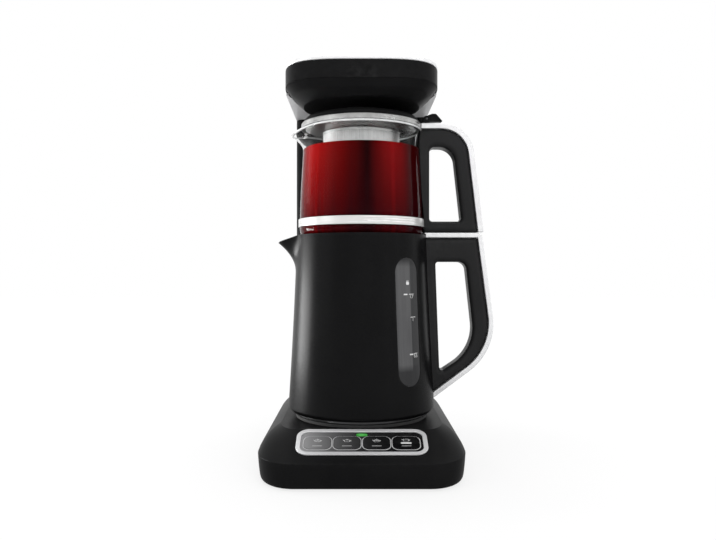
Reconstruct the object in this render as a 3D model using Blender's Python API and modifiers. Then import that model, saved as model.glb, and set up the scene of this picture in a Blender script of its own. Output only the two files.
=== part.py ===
"""Automatic tea maker: a mains base with a column and a brewing head, a kettle
that docks on it, and a glass teapot with an infuser and a lid on top.

Lengths are in metres. X points right, Y to the back and Z up. The pieces are
modelled about the upright axis of the kettle and teapot, X = Y = 0, and an empty
named machine moves them all, so that the world's origin is at the middle of the
whole object's footprint.
"""

import math

import bmesh
import bpy
from mathutils import Matrix, Vector

# Fits and cuts
FIT = 0.0003                    # clearance between pieces that touch
OVERRUN = 0.002                 # how far a cutter runs past the face it opens
MERGE = 0.00001                 # mesh points closer than this become one

# Facets
ROUND_SIDES = 48                # kettle, teapot and its band
PLAIN_SIDES = 32                # other large round pieces
SMALL_SIDES = 16                # feet, bosses, pipes and holes
PIPE_SIDES = 12
SCREW_SIDES = 10
PUMP_SIDES = 24
SPRAY_SIDES = 24                # hole for the spray head
SPOUT_STEPS = 10                # facets across a spout
KEY_STEPS = 3                   # facets of a key's corner
BLOCK_STEPS = 18                # facets of the brewing block's back
CORNER_STEPS = 5                # facets of a rounded corner
HEAD_STEPS = 12                 # facets of half the head's front

# Base: housing, cover, feet and screws
BASE_BESIDE = 0.0224            # base past the kettle's belly, each side
SEAT_TO_SLOPE = 0.003           # deck between the kettle's seat and the front slope
BASE_BEHIND = 0.006             # base past the column
BASE_WALL = 0.003
BASE_LIFT = 0.0015              # housing's lower edge above the table
BASE_HEM = 0.0015               # the lower edge is drawn in by this
BASE_HEM_HEIGHT = 0.002
CREASE_Z = 0.025                # where the walls turn into the slopes
DECK_Z = 0.0446
DECK_SIDE_INSET = 0.0184
DECK_FRONT_INSET = 0.052
DECK_REAR_INSET = 0.0045
PANEL_BESIDE = 0.0004           # flat slope past the bezel, where the corner starts
FRONT_CORNER_ALONG = 0.052
REAR_CORNER = 0.040
DECK_FRONT_ALONG = 0.036
DECK_REAR_CORNER = 0.024
COVER_THICKNESS = 0.0025
FOOT_R = 0.008
FOOT_HEIGHT = 0.0027
FOOT_SIDE_INSET = 0.0264
FOOT_FRONT_INSET = 0.037
FOOT_REAR_INSET = 0.030
BOSS_R = 0.0042
BOSS_SIDE_INSET = 0.0324
BOSS_FRONT_INSET = 0.080
BOSS_REAR_INSET = 0.061
SCREW_HEAD_R = 0.0028
SCREW_HEAD_HEIGHT = 0.0011
SCREW_SHANK_R = 0.0011
SCREW_LENGTH = 0.0125
SCREW_SINK = 0.0001             # head below the cover's underside

# Control panel on the front slope, in the panel's own plane
PANEL_ABOVE = 0.001671          # slope left above the bezel
BEZEL_WIDTH = 0.124
BEZEL_HEIGHT = 0.041
BEZEL_BAND = 0.0042
BEZEL_CORNER = 0.012
BEZEL_THICKNESS = 0.0014
BEZEL_ROUND = 0.0006
PLATE_LAP = 0.0012              # how far the bezel laps over the plate
PLATE_THICKNESS = 0.0013
LEDGE = 0.0033                  # ledge of the housing under the plate
BUTTON_MARGIN = 0.00325         # bezel's inner edge to the first and last key
BUTTON_GAP = 0.0025             # between keys
BUTTON_BELOW = 0.00565          # bezel's lower inner edge to the keys
BUTTON_CORNER = 0.006
BUTTON_COUNT = 4
BUTTON_PROUD = 0.0008
BUTTON_LIP = 0.0006             # flange past the cap on each side
BUTTON_FLANGE = 0.001
BUTTON_STEM_R = 0.002
BUTTON_STEM = 0.0025
BUTTON_TRAVEL = 0.001
LENS_WIDTH = 0.011
LENS_HEIGHT = 0.0046
LENS_ABOVE = 0.001              # lens to the bezel's upper inner edge
LENS_GAP = 0.00105              # keys to the lens
SWITCH_SIZE = 0.006
SWITCH_HEIGHT = 0.004
BOARD_THICKNESS = 0.0016
BOARD_MARGIN = 0.0006           # board past its posts
BOARD_HEIGHT = 0.030
BOARD_POST_R = 0.0022
BOARD_POST_GAP = 0.0013         # posts past the opening under the plate
BOARD_POST_Y = 0.010

# Inside the base
POWER_BOARD_WIDTH = 0.060
POWER_BOARD_DEPTH = 0.045
POWER_BOARD_X = 0.045
POWER_BOARD_Y = 0.020
POWER_POST_R = 0.003
POWER_POST_HEIGHT = 0.004
POWER_POST_INSET = 0.005
RELAY_WIDTH = 0.019
RELAY_DEPTH = 0.015
RELAY_HEIGHT = 0.015
RELAY_X = -0.014                # from the board's centre
CAPACITOR_R = 0.0055
CAPACITOR_HEIGHT = 0.016
CAPACITOR_X = 0.014
PUMP_X = -0.010
PUMP_R = 0.014
PUMP_LENGTH = 0.034
PUMP_INLET = 0.006              # length of the inlet nipple
PUMP_OUTLET = 0.005             # height of the outlet nipple
NIPPLE_R = 0.003
PUMP_FOOT_WIDTH = 0.030
PUMP_FOOT_DEPTH = 0.020
INLET_HOSE_R = 0.0035
INLET_HOSE_BEND = 0.009
RISER_R = 0.0045
RISER_BEND = 0.009
HOSE_PLAY = 0.0008              # radial play of a hose in a hole
GLAND_X = 0.040
GLAND_DROP = 0.0115             # below the crease
GLAND_FLANGE_R = 0.0085
GLAND_FLANGE = 0.0025
GLAND_NECK_R = 0.0065
GLAND_NECK = 0.008
GLAND_BORE_R = 0.0036

# Seat and dock for the kettle
SEAT_INSET = 0.001              # seat inside the kettle's foot
SEAT_HEIGHT = 0.0031
SEAT_CHAMFER = 0.001
DOCK_WIDTH = 0.060
DOCK_ABOVE = 0.0075             # block above the tongue
DOCK_GAP = 0.012                # between the kettle and the block
DOCK_DEPTH = 0.0117
DOCK_BORE_R = 0.0025
DOCK_BORE_INSET = 0.006         # upright bore, behind the block's front face
TONGUE_WIDTH = 0.036
TONGUE_HEIGHT = 0.011
TONGUE_REACH = 0.012            # inside the kettle's belly
TONGUE_PLAY = 0.0006
NOZZLE_R = 0.003
NOZZLE_BORE_R = 0.0018
NOZZLE_REACH = 0.006            # past the tongue
NOZZLE_SEAT = 0.018             # inside the tongue

# Column
COLUMN_INSET = 0.0025           # from the deck's side edge
COLUMN_DEPTH = 0.048
SPLIT_LAND = 0.004              # straight wall before the rear cover's corner
COLUMN_WALL = 0.0026
COLUMN_FRONT_CORNER = 0.012
COLUMN_REAR_CORNER = 0.020

# Kettle
KETTLE_FOOT_INSET = 0.007       # foot ring inside the belly
KETTLE_FOOT_WIDTH = 0.009
KETTLE_FOOT_HEIGHT = 0.0029
KETTLE_HEIGHT = 0.1855
KETTLE_MOUTH = 0.0034           # kettle's rim past the teapot's belly
KETTLE_FLARE = 0.0086           # belly past the rim
KETTLE_CHAMFER = 0.0037
KETTLE_WALL = 0.0022
KETTLE_CAP = 0.0023             # thickness of the bottom cap
SPOUT_REACH = 0.0200
SPOUT_DIP = 0.008
SPOUT_HEIGHT = 0.040
SOCKET_FLOOR = 0.0018
SOCKET_WALL = 0.0034
SOCKET_CEILING = 0.0019
SOCKET_DEPTH = 0.0045           # pocket length inside the kettle's wall
SOCKET_LENGTH = 0.0179
SOCKET_BORE = 0.0084            # bore past the pocket's end
OUTLET_R = 0.0035
OUTLET_BORE_R = 0.0023
HEATER_INSET = 0.020            # from the belly
HEATER_THICKNESS = 0.0029
LINER_INSET = 0.005             # air gap between the shell and the liner
LINER_WALL = 0.0008
COLLAR_LEDGE = 0.001            # collar under the teapot's foot
COLLAR_HEIGHT = 0.0047
COLLAR_PLAY = 0.0005
WINDOW_WIDTH = 0.030
WINDOW_DROP = 0.0246            # window's top below the kettle's rim
WINDOW_LIFT = 0.0323            # window's bottom above the kettle's base
WINDOW_RECESS = 0.0004
WINDOW_DEGREES = 40.6           # round to the right of the front

# Handles
GRIP_WIDTH = 0.026
GRIP_ROUND = 0.003
TRIM_ROUND = 0.0008
KETTLE_TRIM = 0.005
KETTLE_GRIP_REACH = 0.0751      # past the kettle's rim
KETTLE_GRIP_RISE = 0.0024       # top face above the kettle's rim
TEAPOT_TRIM = 0.0058
TEAPOT_GRIP_REACH = 0.0651      # past the teapot's rim
TEAPOT_GRIP_RISE = 0.006
GRIP_GAP = 0.0008               # between the two handles

# Teapot, band and infuser
TEAPOT_NEST = 0.004             # how deep the teapot sits in the kettle's mouth
TEAPOT_HEIGHT = 0.117
TEAPOT_BELLY_R = 0.066
TEAPOT_FOOT_INSET = 0.006       # foot inside the belly
TEAPOT_NECK_INSET = 0.0038      # neck inside the belly
TEAPOT_LIP = 0.0025             # rim past the neck
TEAPOT_WALL = 0.0022
TEAPOT_SPOUT_REACH = 0.0117
TEAPOT_SPOUT_DIP = 0.006
TEAPOT_SPOUT_HEIGHT = 0.024
BAND_LIFT = 0.0125
BAND_HEIGHT = 0.0085
BAND_THICKNESS = 0.0012
INFUSER_WALL = 0.0008
INFUSER_R = 0.041
INFUSER_DEPTH = 0.082           # below the teapot's rim
INFUSER_LEDGE = 0.005           # flange outside the mouth
INFUSER_FLANGE = 0.0056
INFUSER_SHOULDER = 0.007        # shoulder's lower edge below the rim

# Lid and its hinge
LID_INSET = 0.0029              # inside the infuser's flange
LID_THICKNESS = 0.0056
LID_CHAMFER = 0.0025
LID_INLET_R = 0.012
LID_DISH = 0.0022
LID_DISH_R = 0.020
SEAL_PLAY = 0.0018              # inside the infuser's mouth
SEAL_WIDTH = 0.0025
SEAL_HEIGHT = 0.0028
HINGE_OUT = 0.0048              # pin past the teapot's rim
PIN_R = 0.0012
PIN_RISE = 0.005                # pin above the handle's top face
BRACKET_FOOT = 0.0012
BRACKET_FRONT = 0.0035          # bracket before the pin
BRACKET_REAR = 0.003            # and behind it
EAR_THICKNESS = 0.003
EAR_RISE = 0.003                # ears above the pin
LEVER_INSET = 0.005             # from the handle's sides
LEVER_CLEARANCE = 0.0006        # lever above the bracket's foot
LEVER_LAP = 0.0135              # lever's length on the lid
LEVER_SKIN = 0.001
LEVER_TAIL = 0.017              # thumb end past the pin
LEVER_CREST = 0.0058            # crest above the pin

# Head: brewing block, spray head, shell, rim, soffit and top
HEAD_CLEARANCE = 0.0112         # lid to brewing block
BLOCK_HEIGHT = 0.014
BLOCK_LAP = 0.0005              # block past the lid
BLOCK_WALL = 0.0024
BLOCK_BEHIND = 0.012            # block's rear past its lower edge
BLOCK_SHOULDER = -0.032         # behind this line the block leaves the head's side
HEAD_AHEAD = 0.014              # head past the block's lower edge
HEAD_SQUARENESS = 3.6
HEAD_WALL = 0.0026
HEAD_WALL_HEIGHT = 0.0174
RIM_WIDTH = 0.007
RIM_HEIGHT = 0.004
RIM_ROUND = 0.0012
TOP_THICKNESS = 0.0035
TOP_DROP = 0.001                # top plate below the rim's top
SOFFIT_THICKNESS = 0.0024
SOFFIT_FRONT = -0.014
SPRAY_R = 0.016
SPRAY_PROUD = 0.001
SPRAY_FLANGE_R = 0.020
SPRAY_FLANGE = 0.0023
SPRAY_BOSS_R = 0.008
SPRAY_HEIGHT = 0.013
SPRAY_BORE_R = 0.003
RISER_HEAD_Z = 0.009            # the riser's run above the brewing block

# Outlines as shares. A handle's corners are (share of its reach, share of its
# drop, share of its reach as the corner's radius); the reach starts at the rim.
kettle_grip_shares = ((-0.3, 0.0, 0.0), (0.78, 0.0, 0.08), (1.0, 0.671, 0.53), (-0.1, 1.002, 0.0))
kettle_hole_shares = ((0.128, 0.166, 0.04), (0.554, 0.166, 0.12), (0.687, 0.664, 0.37), (0.185, 0.80, 0.04))
teapot_grip_shares = ((-0.1, 0.0, 0.0), (0.788, 0.0, 0.54), (1.0, 1.0, 0.0))
teapot_hole_shares = ((0.120, 0.216, 0.09), (0.511, 0.216, 0.26), (0.645, 0.90, 0.06), (0.120, 0.90, 0.05))

# Rows of the kettle's wall, of the glass and of the brewing block, as shares of
# their heights. The block's rows also say how far each is from round to squarish.
kettle_row_shares = (0.35, 0.78, 0.86, 0.93, 1.0)
glass_row_shares = (0.0, 0.045, 0.10, 0.80, 0.87, 0.94, 1.0)
glass_heel_share = 0.82
glass_straight_share = 0.09
glass_lip_share = 0.36
kettle_flare_share = 1.3
spout_half_degrees = 24.0
teapot_spout_half_degrees = 42.0
spout_curve_share = 2.0
block_level_shares = ((0.0, 0.0), (0.5, 0.7), (1.0, 1.0))
lever_crest_shares = (0.6, 0.35)    # ends of the crest along the lever's tail

# Widths and depths that follow
TEAPOT_FOOT_R = TEAPOT_BELLY_R - TEAPOT_FOOT_INSET
TEAPOT_NECK_R = TEAPOT_BELLY_R - TEAPOT_NECK_INSET
TEAPOT_RIM_R = TEAPOT_NECK_R + TEAPOT_LIP
INFUSER_FLANGE_R = TEAPOT_RIM_R - FIT
INFUSER_MOUTH_R = INFUSER_FLANGE_R - INFUSER_LEDGE
LID_R = INFUSER_FLANGE_R - LID_INSET
SEAL_R = INFUSER_MOUTH_R - SEAL_PLAY
LEVER_WIDTH = GRIP_WIDTH - LEVER_INSET * 2
KETTLE_RIM_R = TEAPOT_BELLY_R + KETTLE_MOUTH
KETTLE_BELLY_R = KETTLE_RIM_R + KETTLE_FLARE
KETTLE_FOOT_R = KETTLE_BELLY_R - KETTLE_FOOT_INSET
HEATER_R = KETTLE_BELLY_R - HEATER_INSET
COLLAR_R_IN = TEAPOT_FOOT_R - COLLAR_LEDGE
SEAT_R = KETTLE_FOOT_R - SEAT_INSET
BASE_HALF_WIDTH = KETTLE_BELLY_R + BASE_BESIDE
DECK_HALF_WIDTH = BASE_HALF_WIDTH - DECK_SIDE_INSET
BASE_FRONT = SEAT_R + SEAT_TO_SLOPE + DECK_FRONT_INSET      # from the pot axis forwards
FRONT_CORNER_ACROSS = BASE_HALF_WIDTH - BEZEL_WIDTH / 2 - PANEL_BESIDE
DECK_FRONT_ACROSS = DECK_HALF_WIDTH - BEZEL_WIDTH / 2
TONGUE_LENGTH = DOCK_GAP + TONGUE_REACH
COLUMN_HALF_WIDTH = DECK_HALF_WIDTH - COLUMN_INSET
COLUMN_FRONT = KETTLE_BELLY_R + DOCK_GAP + DOCK_DEPTH + FIT
COLUMN_REAR = COLUMN_FRONT + COLUMN_DEPTH
COLUMN_SPLIT = COLUMN_REAR - COLUMN_REAR_CORNER - SPLIT_LAND
RISER_Y = (COLUMN_FRONT + COLUMN_REAR) / 2
BASE_REAR = COLUMN_REAR + BASE_BEHIND                       # from the pot axis backwards
FOOT_X = BASE_HALF_WIDTH - FOOT_SIDE_INSET
FOOT_FRONT_Y = FOOT_FRONT_INSET - BASE_FRONT
FOOT_REAR_Y = BASE_REAR - FOOT_REAR_INSET
BOSS_X = BASE_HALF_WIDTH - BOSS_SIDE_INSET
BOSS_FRONT_Y = BOSS_FRONT_INSET - BASE_FRONT
BOSS_REAR_Y = BASE_REAR - BOSS_REAR_INSET
BLOCK_R = LID_R + BLOCK_LAP
BLOCK_REAR = BLOCK_R + BLOCK_BEHIND
HEAD_FRONT = BLOCK_R + HEAD_AHEAD
WINDOW_HEIGHT = KETTLE_HEIGHT - WINDOW_DROP - WINDOW_LIFT

# The panel's sizes that follow
PANEL_INNER_WIDTH = BEZEL_WIDTH - BEZEL_BAND * 2
PANEL_INNER_HEIGHT = BEZEL_HEIGHT - BEZEL_BAND * 2
PANEL_CLIMB = math.hypot(DECK_FRONT_INSET, DECK_Z - CREASE_Z) - PANEL_ABOVE - BEZEL_HEIGHT / 2
PLATE_WIDTH = PANEL_INNER_WIDTH + PLATE_LAP * 2
PLATE_HEIGHT = PANEL_INNER_HEIGHT + PLATE_LAP * 2
PLATE_CORNER = BEZEL_CORNER - BEZEL_BAND + PLATE_LAP
BUTTON_WIDTH = ((PANEL_INNER_WIDTH - BUTTON_MARGIN * 2 - BUTTON_GAP * (BUTTON_COUNT - 1))
                / BUTTON_COUNT)
BUTTON_PITCH = BUTTON_WIDTH + BUTTON_GAP
BUTTON_HEIGHT = PANEL_INNER_HEIGHT - BUTTON_BELOW - LENS_GAP - LENS_HEIGHT - LENS_ABOVE
BUTTON_OFFSET = BUTTON_BELOW + BUTTON_HEIGHT / 2 - PANEL_INNER_HEIGHT / 2
LENS_OFFSET = PANEL_INNER_HEIGHT / 2 - LENS_ABOVE - LENS_HEIGHT / 2
BOARD_POST_X = PLATE_WIDTH / 2 - LEDGE + BOARD_POST_GAP + BOARD_POST_R
BOARD_WIDTH = (BOARD_POST_X + BOARD_POST_R + BOARD_MARGIN) * 2

# Heights that follow
COVER_TOP = BASE_LIFT + COVER_THICKNESS
SEAT_TOP = DECK_Z + FIT + SEAT_HEIGHT
KETTLE_FOOT_Z = SEAT_TOP + FIT
KETTLE_BASE = KETTLE_FOOT_Z + KETTLE_FOOT_HEIGHT + FIT
KETTLE_RIM = KETTLE_BASE + KETTLE_HEIGHT
TEAPOT_BASE = KETTLE_RIM - TEAPOT_NEST
TEAPOT_RIM = TEAPOT_BASE + TEAPOT_HEIGHT
INFUSER_TOP = TEAPOT_RIM + FIT + INFUSER_FLANGE
LID_BASE = INFUSER_TOP + FIT
LID_TOP = LID_BASE + LID_THICKNESS
BLOCK_BASE = LID_TOP + HEAD_CLEARANCE
BLOCK_TOP = BLOCK_BASE + BLOCK_HEIGHT
HEAD_BASE = BLOCK_TOP + FIT
HEAD_WALL_TOP = HEAD_BASE + HEAD_WALL_HEIGHT
HEAD_TOP = HEAD_WALL_TOP + FIT + RIM_HEIGHT
KETTLE_GRIP_TOP = KETTLE_RIM + KETTLE_GRIP_RISE
TEAPOT_GRIP_TOP = TEAPOT_RIM + TEAPOT_GRIP_RISE
TEAPOT_GRIP_BASE = KETTLE_GRIP_TOP + GRIP_GAP
HINGE_X = TEAPOT_RIM_R + HINGE_OUT
HINGE_Z = TEAPOT_GRIP_TOP + PIN_RISE
DOCK_BASE = DECK_Z + FIT
DOCK_BACK = COLUMN_FRONT - FIT
DOCK_FRONT = DOCK_BACK - DOCK_DEPTH
TONGUE_BASE = KETTLE_BASE + KETTLE_CAP + FIT + SOCKET_FLOOR + TONGUE_PLAY
DOCK_HEIGHT = TONGUE_BASE - DOCK_BASE + TONGUE_HEIGHT + DOCK_ABOVE
GLAND_Z = CREASE_Z - GLAND_DROP
TONGUE_FRONT = DOCK_FRONT - TONGUE_LENGTH
NOZZLE_Z = TONGUE_BASE + TONGUE_HEIGHT / 2
PANEL_SLOPE = math.atan2(DECK_Z - CREASE_Z, DECK_FRONT_INSET)
PUMP_Z = COVER_TOP + FIT + PUMP_R + FIT


def clear_scene():
    """Take away whatever the scene holds at the start."""
    for thing in list(bpy.data.objects):
        bpy.data.objects.remove(thing, do_unlink=True)


def new_collection(name):
    """Add a collection to the scene."""
    group = bpy.data.collections.new(name)
    bpy.context.scene.collection.children.link(group)
    return group


def new_material(name, colour, roughness, metallic=0.0, transmission=0.0):
    """A Principled material with one colour."""
    look = bpy.data.materials.new(name)
    look.use_nodes = True
    shader = look.node_tree.nodes["Principled BSDF"]
    shader.inputs["Base Color"].default_value = (*colour, 1.0)
    shader.inputs["Roughness"].default_value = roughness
    shader.inputs["Metallic"].default_value = metallic
    shader.inputs["Transmission Weight"].default_value = transmission
    look.diffuse_color = (*colour, 1.0)
    return look


clear_scene()
PARTS = new_collection("automatic_tea_maker")
CUTTERS = new_collection("cutters")

SATIN_BLACK = new_material("satin_black_plastic", (0.012, 0.012, 0.013), 0.38)
GLOSS_BLACK = new_material("gloss_black_plastic", (0.008, 0.008, 0.009), 0.12)
KETTLE_BLACK = new_material("black_painted_steel", (0.014, 0.014, 0.015), 0.32, metallic=0.2)
RUBBER = new_material("black_rubber", (0.02, 0.02, 0.02), 0.8)
BRIGHT_TRIM = new_material("bright_silver_trim", (0.82, 0.82, 0.83), 0.18, metallic=0.9)
SILVER_PLASTIC = new_material("silver_plastic", (0.52, 0.52, 0.53), 0.4)
STEEL = new_material("brushed_steel", (0.62, 0.62, 0.61), 0.28, metallic=1.0)
CLEAR_GLASS = new_material("clear_glass", (0.95, 0.96, 0.96), 0.02, transmission=1.0)
SMOKED_PLASTIC = new_material("smoked_plastic", (0.12, 0.12, 0.13), 0.15, transmission=0.6)
GREEN_LENS = new_material("green_lens", (0.05, 0.55, 0.08), 0.3)
CIRCUIT_GREEN = new_material("circuit_board_green", (0.02, 0.16, 0.07), 0.5)
CLEAR_SILICONE = new_material("milky_silicone", (0.75, 0.75, 0.72), 0.6)
GREY_SILICONE = new_material("grey_silicone", (0.30, 0.30, 0.30), 0.6)


def new_frame(name, location, parent=None, turn=(0.0, 0.0, 0.0)):
    """An empty that carries the pieces of one body."""
    empty = bpy.data.objects.new(name, None)
    PARTS.objects.link(empty)
    empty.parent = parent
    empty.location = location
    empty.rotation_euler = turn
    return empty


def new_piece(name, mesh, look, parent, location=(0.0, 0.0, 0.0), turn=(0.0, 0.0, 0.0)):
    """An object for a mesh. Without a look it is a cutter or a joined shape."""
    thing = bpy.data.objects.new(name, mesh)
    thing.parent = parent
    thing.location = location
    thing.rotation_euler = turn
    if look is None:
        CUTTERS.objects.link(thing)
        thing.hide_render = True
        thing.display_type = "WIRE"
    else:
        PARTS.objects.link(thing)
        mesh.materials.append(look)
    return thing


def combine(target, tool, operation):
    """Add a Boolean modifier that works a tool into a piece."""
    step = target.modifiers.new(tool.name, "BOOLEAN")
    step.operation = operation
    step.object = tool
    return target


def cut(target, *tools):
    """Cut tools out of a piece."""
    for tool in tools:
        combine(target, tool, "DIFFERENCE")


def join(target, *tools):
    """Fuse tools with a piece."""
    for tool in tools:
        combine(target, tool, "UNION")


def thicken(thing, wall):
    """Turn an open surface into a shell, with its wall on the inner side."""
    step = thing.modifiers.new("Wall", "SOLIDIFY")
    step.thickness = wall
    step.offset = -1.0
    step.use_even_offset = True
    return thing


def round_edges(thing, width, segments=2):
    """Round the sharp edges of a piece."""
    step = thing.modifiers.new("Rounded edges", "BEVEL")
    step.width = width
    step.segments = segments
    step.limit_method = "ANGLE"
    step.angle_limit = math.radians(50)
    return thing


def shade(mesh, degrees=35):
    """Smooth shading with creases at sharp edges."""
    mesh.shade_smooth()
    mesh.set_sharp_from_angle(angle=math.radians(degrees))


def box(name, size, look, parent, location, turn=(0.0, 0.0, 0.0)):
    """A box about its location."""
    mesh = bpy.data.meshes.new(name)
    work = bmesh.new()
    bmesh.ops.create_cube(work, size=1)
    bmesh.ops.scale(work, vec=size, verts=work.verts)
    work.to_mesh(mesh)
    work.free()
    return new_piece(name, mesh, look, parent, location, turn)


def cylinder(name, radius, length, look, parent, location, turn=(0.0, 0.0, 0.0), sides=SMALL_SIDES):
    """A cylinder along its own Z, about its location."""
    mesh = bpy.data.meshes.new(name)
    work = bmesh.new()
    bmesh.ops.create_cone(work, cap_ends=True, segments=sides, radius1=radius, radius2=radius,
                          depth=length)
    work.to_mesh(mesh)
    work.free()
    shade(mesh)
    return new_piece(name, mesh, look, parent, location, turn)


def turned(name, profile, look, parent, location=(0.0, 0.0, 0.0), sides=PLAIN_SIDES,
           turn=(0.0, 0.0, 0.0), closed=False):
    """Revolve an (r, z) profile that runs down its outer side about Z."""
    count = len(profile)
    edges = [(index, index + 1) for index in range(count - 1)]
    if closed:
        edges.append((count - 1, 0))
    mesh = bpy.data.meshes.new(name)
    mesh.from_pydata([(r, 0.0, z) for r, z in profile], edges, [])
    thing = new_piece(name, mesh, look, parent, location, turn)
    step = thing.modifiers.new("Revolve", "SCREW")
    step.steps = sides
    step.render_steps = sides
    step.use_merge_vertices = True
    step.merge_threshold = MERGE
    return thing


def ring_profile(inner, outer, bottom, top, chamfer=0.0):
    """Section of a plain ring, with an optional chamfer on its outer top edge."""
    start = [(outer, top)]
    if chamfer > 0:
        start = [(outer - chamfer, top), (outer, top - chamfer)]
    return start + [(outer, bottom), (inner, bottom), (inner, top)]


def disc_profile(radius, bottom, top):
    """Half section of a disc."""
    return [(0.0, top), (radius, top), (radius, bottom), (0.0, bottom)]


def slab(name, loops, thickness, look, parent, location=(0.0, 0.0, 0.0), turn=(0.0, 0.0, 0.0)):
    """A flat outline with any holes, standing up from its own XY plane."""
    curve = bpy.data.curves.new(name, "CURVE")
    curve.dimensions = "2D"
    curve.fill_mode = "BOTH"
    curve.extrude = thickness / 2
    for loop in loops:
        spline = curve.splines.new("POLY")
        spline.points.add(len(loop) - 1)
        for point, (x, y) in zip(spline.points, loop):
            point.co = (x, y, 0.0, 1.0)
        spline.use_cyclic_u = True
    mesh = mesh_of_curve(name, curve)
    work = bmesh.new()
    work.from_mesh(mesh)
    bmesh.ops.dissolve_limit(work, angle_limit=math.radians(0.5), verts=work.verts, edges=work.edges)
    bmesh.ops.translate(work, vec=(0.0, 0.0, thickness / 2), verts=work.verts)
    work.to_mesh(mesh)
    work.free()
    shade(mesh)
    return new_piece(name, mesh, look, parent, location, turn)


def mesh_of_curve(name, curve):
    """The closed mesh of a curve object, with its caps welded on."""
    holder = bpy.data.objects.new(name + "_curve", curve)
    bpy.context.scene.collection.objects.link(holder)
    graph = bpy.context.evaluated_depsgraph_get()
    mesh = bpy.data.meshes.new_from_object(holder.evaluated_get(graph))
    mesh.name = name
    mesh.materials.clear()
    bpy.data.objects.remove(holder, do_unlink=True)
    work = bmesh.new()
    work.from_mesh(mesh)
    bmesh.ops.remove_doubles(work, verts=work.verts, dist=MERGE)
    bmesh.ops.recalc_face_normals(work, faces=work.faces)
    work.to_mesh(mesh)
    work.free()
    return mesh


def tube(name, points, radius, look, parent, resolution=1):
    """A round tube along a list of points."""
    curve = bpy.data.curves.new(name, "CURVE")
    curve.dimensions = "3D"
    curve.bevel_depth = radius
    curve.bevel_resolution = resolution
    curve.use_fill_caps = True
    spline = curve.splines.new("POLY")
    spline.points.add(len(points) - 1)
    for point, place in zip(spline.points, points):
        point.co = (*place, 1.0)
    mesh = mesh_of_curve(name, curve)
    shade(mesh)
    return new_piece(name, mesh, look, parent)


def route(places, bend, steps=4):
    """Points along straight runs, with each inner corner bent."""
    points = [Vector(places[0])]
    for before, corner, after in zip(places, places[1:], places[2:]):
        corner = Vector(corner)
        start = corner + (Vector(before) - corner).normalized() * bend
        end = corner + (Vector(after) - corner).normalized() * bend
        for step in range(steps + 1):
            share = step / steps
            points.append(start.lerp(corner, share).lerp(corner.lerp(end, share), share))
    points.append(Vector(places[-1]))
    return points


def skin(name, rings, look, parent, floor=False, roof=False):
    """Loft through rings of (x, y, z) listed upwards, each anticlockwise from above."""
    count = len(rings[0])
    points = [point for ring in rings for point in ring]
    faces = []
    for level in range(len(rings) - 1):
        low = level * count
        for index in range(count):
            following = (index + 1) % count
            faces.append((low + index, low + following, low + count + following, low + count + index))
    if floor:
        faces.append(tuple(reversed(range(count))))
    if roof:
        faces.append(tuple(range(len(points) - count, len(points))))
    mesh = bpy.data.meshes.new(name)
    mesh.from_pydata(points, [], faces)
    shade(mesh)
    return new_piece(name, mesh, look, parent)


def rounded(corners, steps=CORNER_STEPS):
    """Give each (x, y, radius) corner of a loop its arc."""
    points = []
    count = len(corners)
    for index, (x, y, radius) in enumerate(corners):
        here = Vector((x, y))
        if radius <= 0:
            points.append((x, y))
            continue
        before = (Vector(corners[index - 1][:2]) - here).normalized()
        after = (Vector(corners[(index + 1) % count][:2]) - here).normalized()
        half = before.angle(after) / 2
        centre = here + (before + after).normalized() * radius / math.sin(half)
        start = here + before * radius / math.tan(half) - centre
        end = here + after * radius / math.tan(half) - centre
        sweep = math.atan2(start.x * end.y - start.y * end.x, start.dot(end))
        first = math.atan2(start.y, start.x)
        for step in range(steps + 1):
            angle = first + sweep * step / steps
            points.append((centre.x + radius * math.cos(angle), centre.y + radius * math.sin(angle)))
    return points


def rounded_box(width, height, radius, middle=(0.0, 0.0), steps=CORNER_STEPS):
    """A rectangle with round corners about its middle."""
    x, y = middle
    right, top = width / 2, height / 2
    corners = [(x + right, y - top, radius), (x + right, y + top, radius),
               (x - right, y + top, radius), (x - right, y - top, radius)]
    return rounded(corners, steps)


def beside(path, distance):
    """The open path of (x, y, radius) corners that runs at a distance to its right."""
    places = [Vector(corner[:2]) for corner in path]
    runs = [(after - before).normalized() for before, after in zip(places, places[1:])]
    rights = [Vector((run.y, -run.x)) for run in runs]
    shifted = [(*(places[0] + rights[0] * distance), path[0][2])]
    for index in range(1, len(places) - 1):
        middle = (rights[index - 1] + rights[index]).normalized()
        place = places[index] + middle * distance / middle.dot(rights[index])
        shifted.append((*place, max(path[index][2] - distance, MERGE)))
    level = Vector((-1.0, 0.0))
    shifted.append((*(places[-1] + level * distance / level.dot(rights[-1])), path[-1][2]))
    return shifted


def cornered_ring(half_width, front, rear, front_radii, rear_radii, z, steps=CORNER_STEPS):
    """A ring with elliptical corners, front and rear apart, anticlockwise from above."""
    corners = ((1, -1, front, front_radii), (1, 1, rear, rear_radii),
               (-1, 1, rear, rear_radii), (-1, -1, front, front_radii))
    ring = []
    for quarter, (side, way, edge, (across, along)) in enumerate(corners):
        middle_x = side * (half_width - across)
        middle_y = edge - way * along
        for step in range(steps + 1):
            angle = math.radians(90 * (quarter - 1 + step / steps))
            ring.append((middle_x + across * math.cos(angle), middle_y + along * math.sin(angle), z))
    return ring


def flat(ring):
    """The plan of a ring."""
    return [(x, y) for x, y, z in ring]


def base_ring(inset, z):
    """The base's outline, drawn in on all sides."""
    return cornered_ring(BASE_HALF_WIDTH - inset, inset - BASE_FRONT, BASE_REAR - inset,
                         (FRONT_CORNER_ACROSS - inset, FRONT_CORNER_ALONG - inset),
                         (REAR_CORNER - inset, REAR_CORNER - inset), z)


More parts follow.
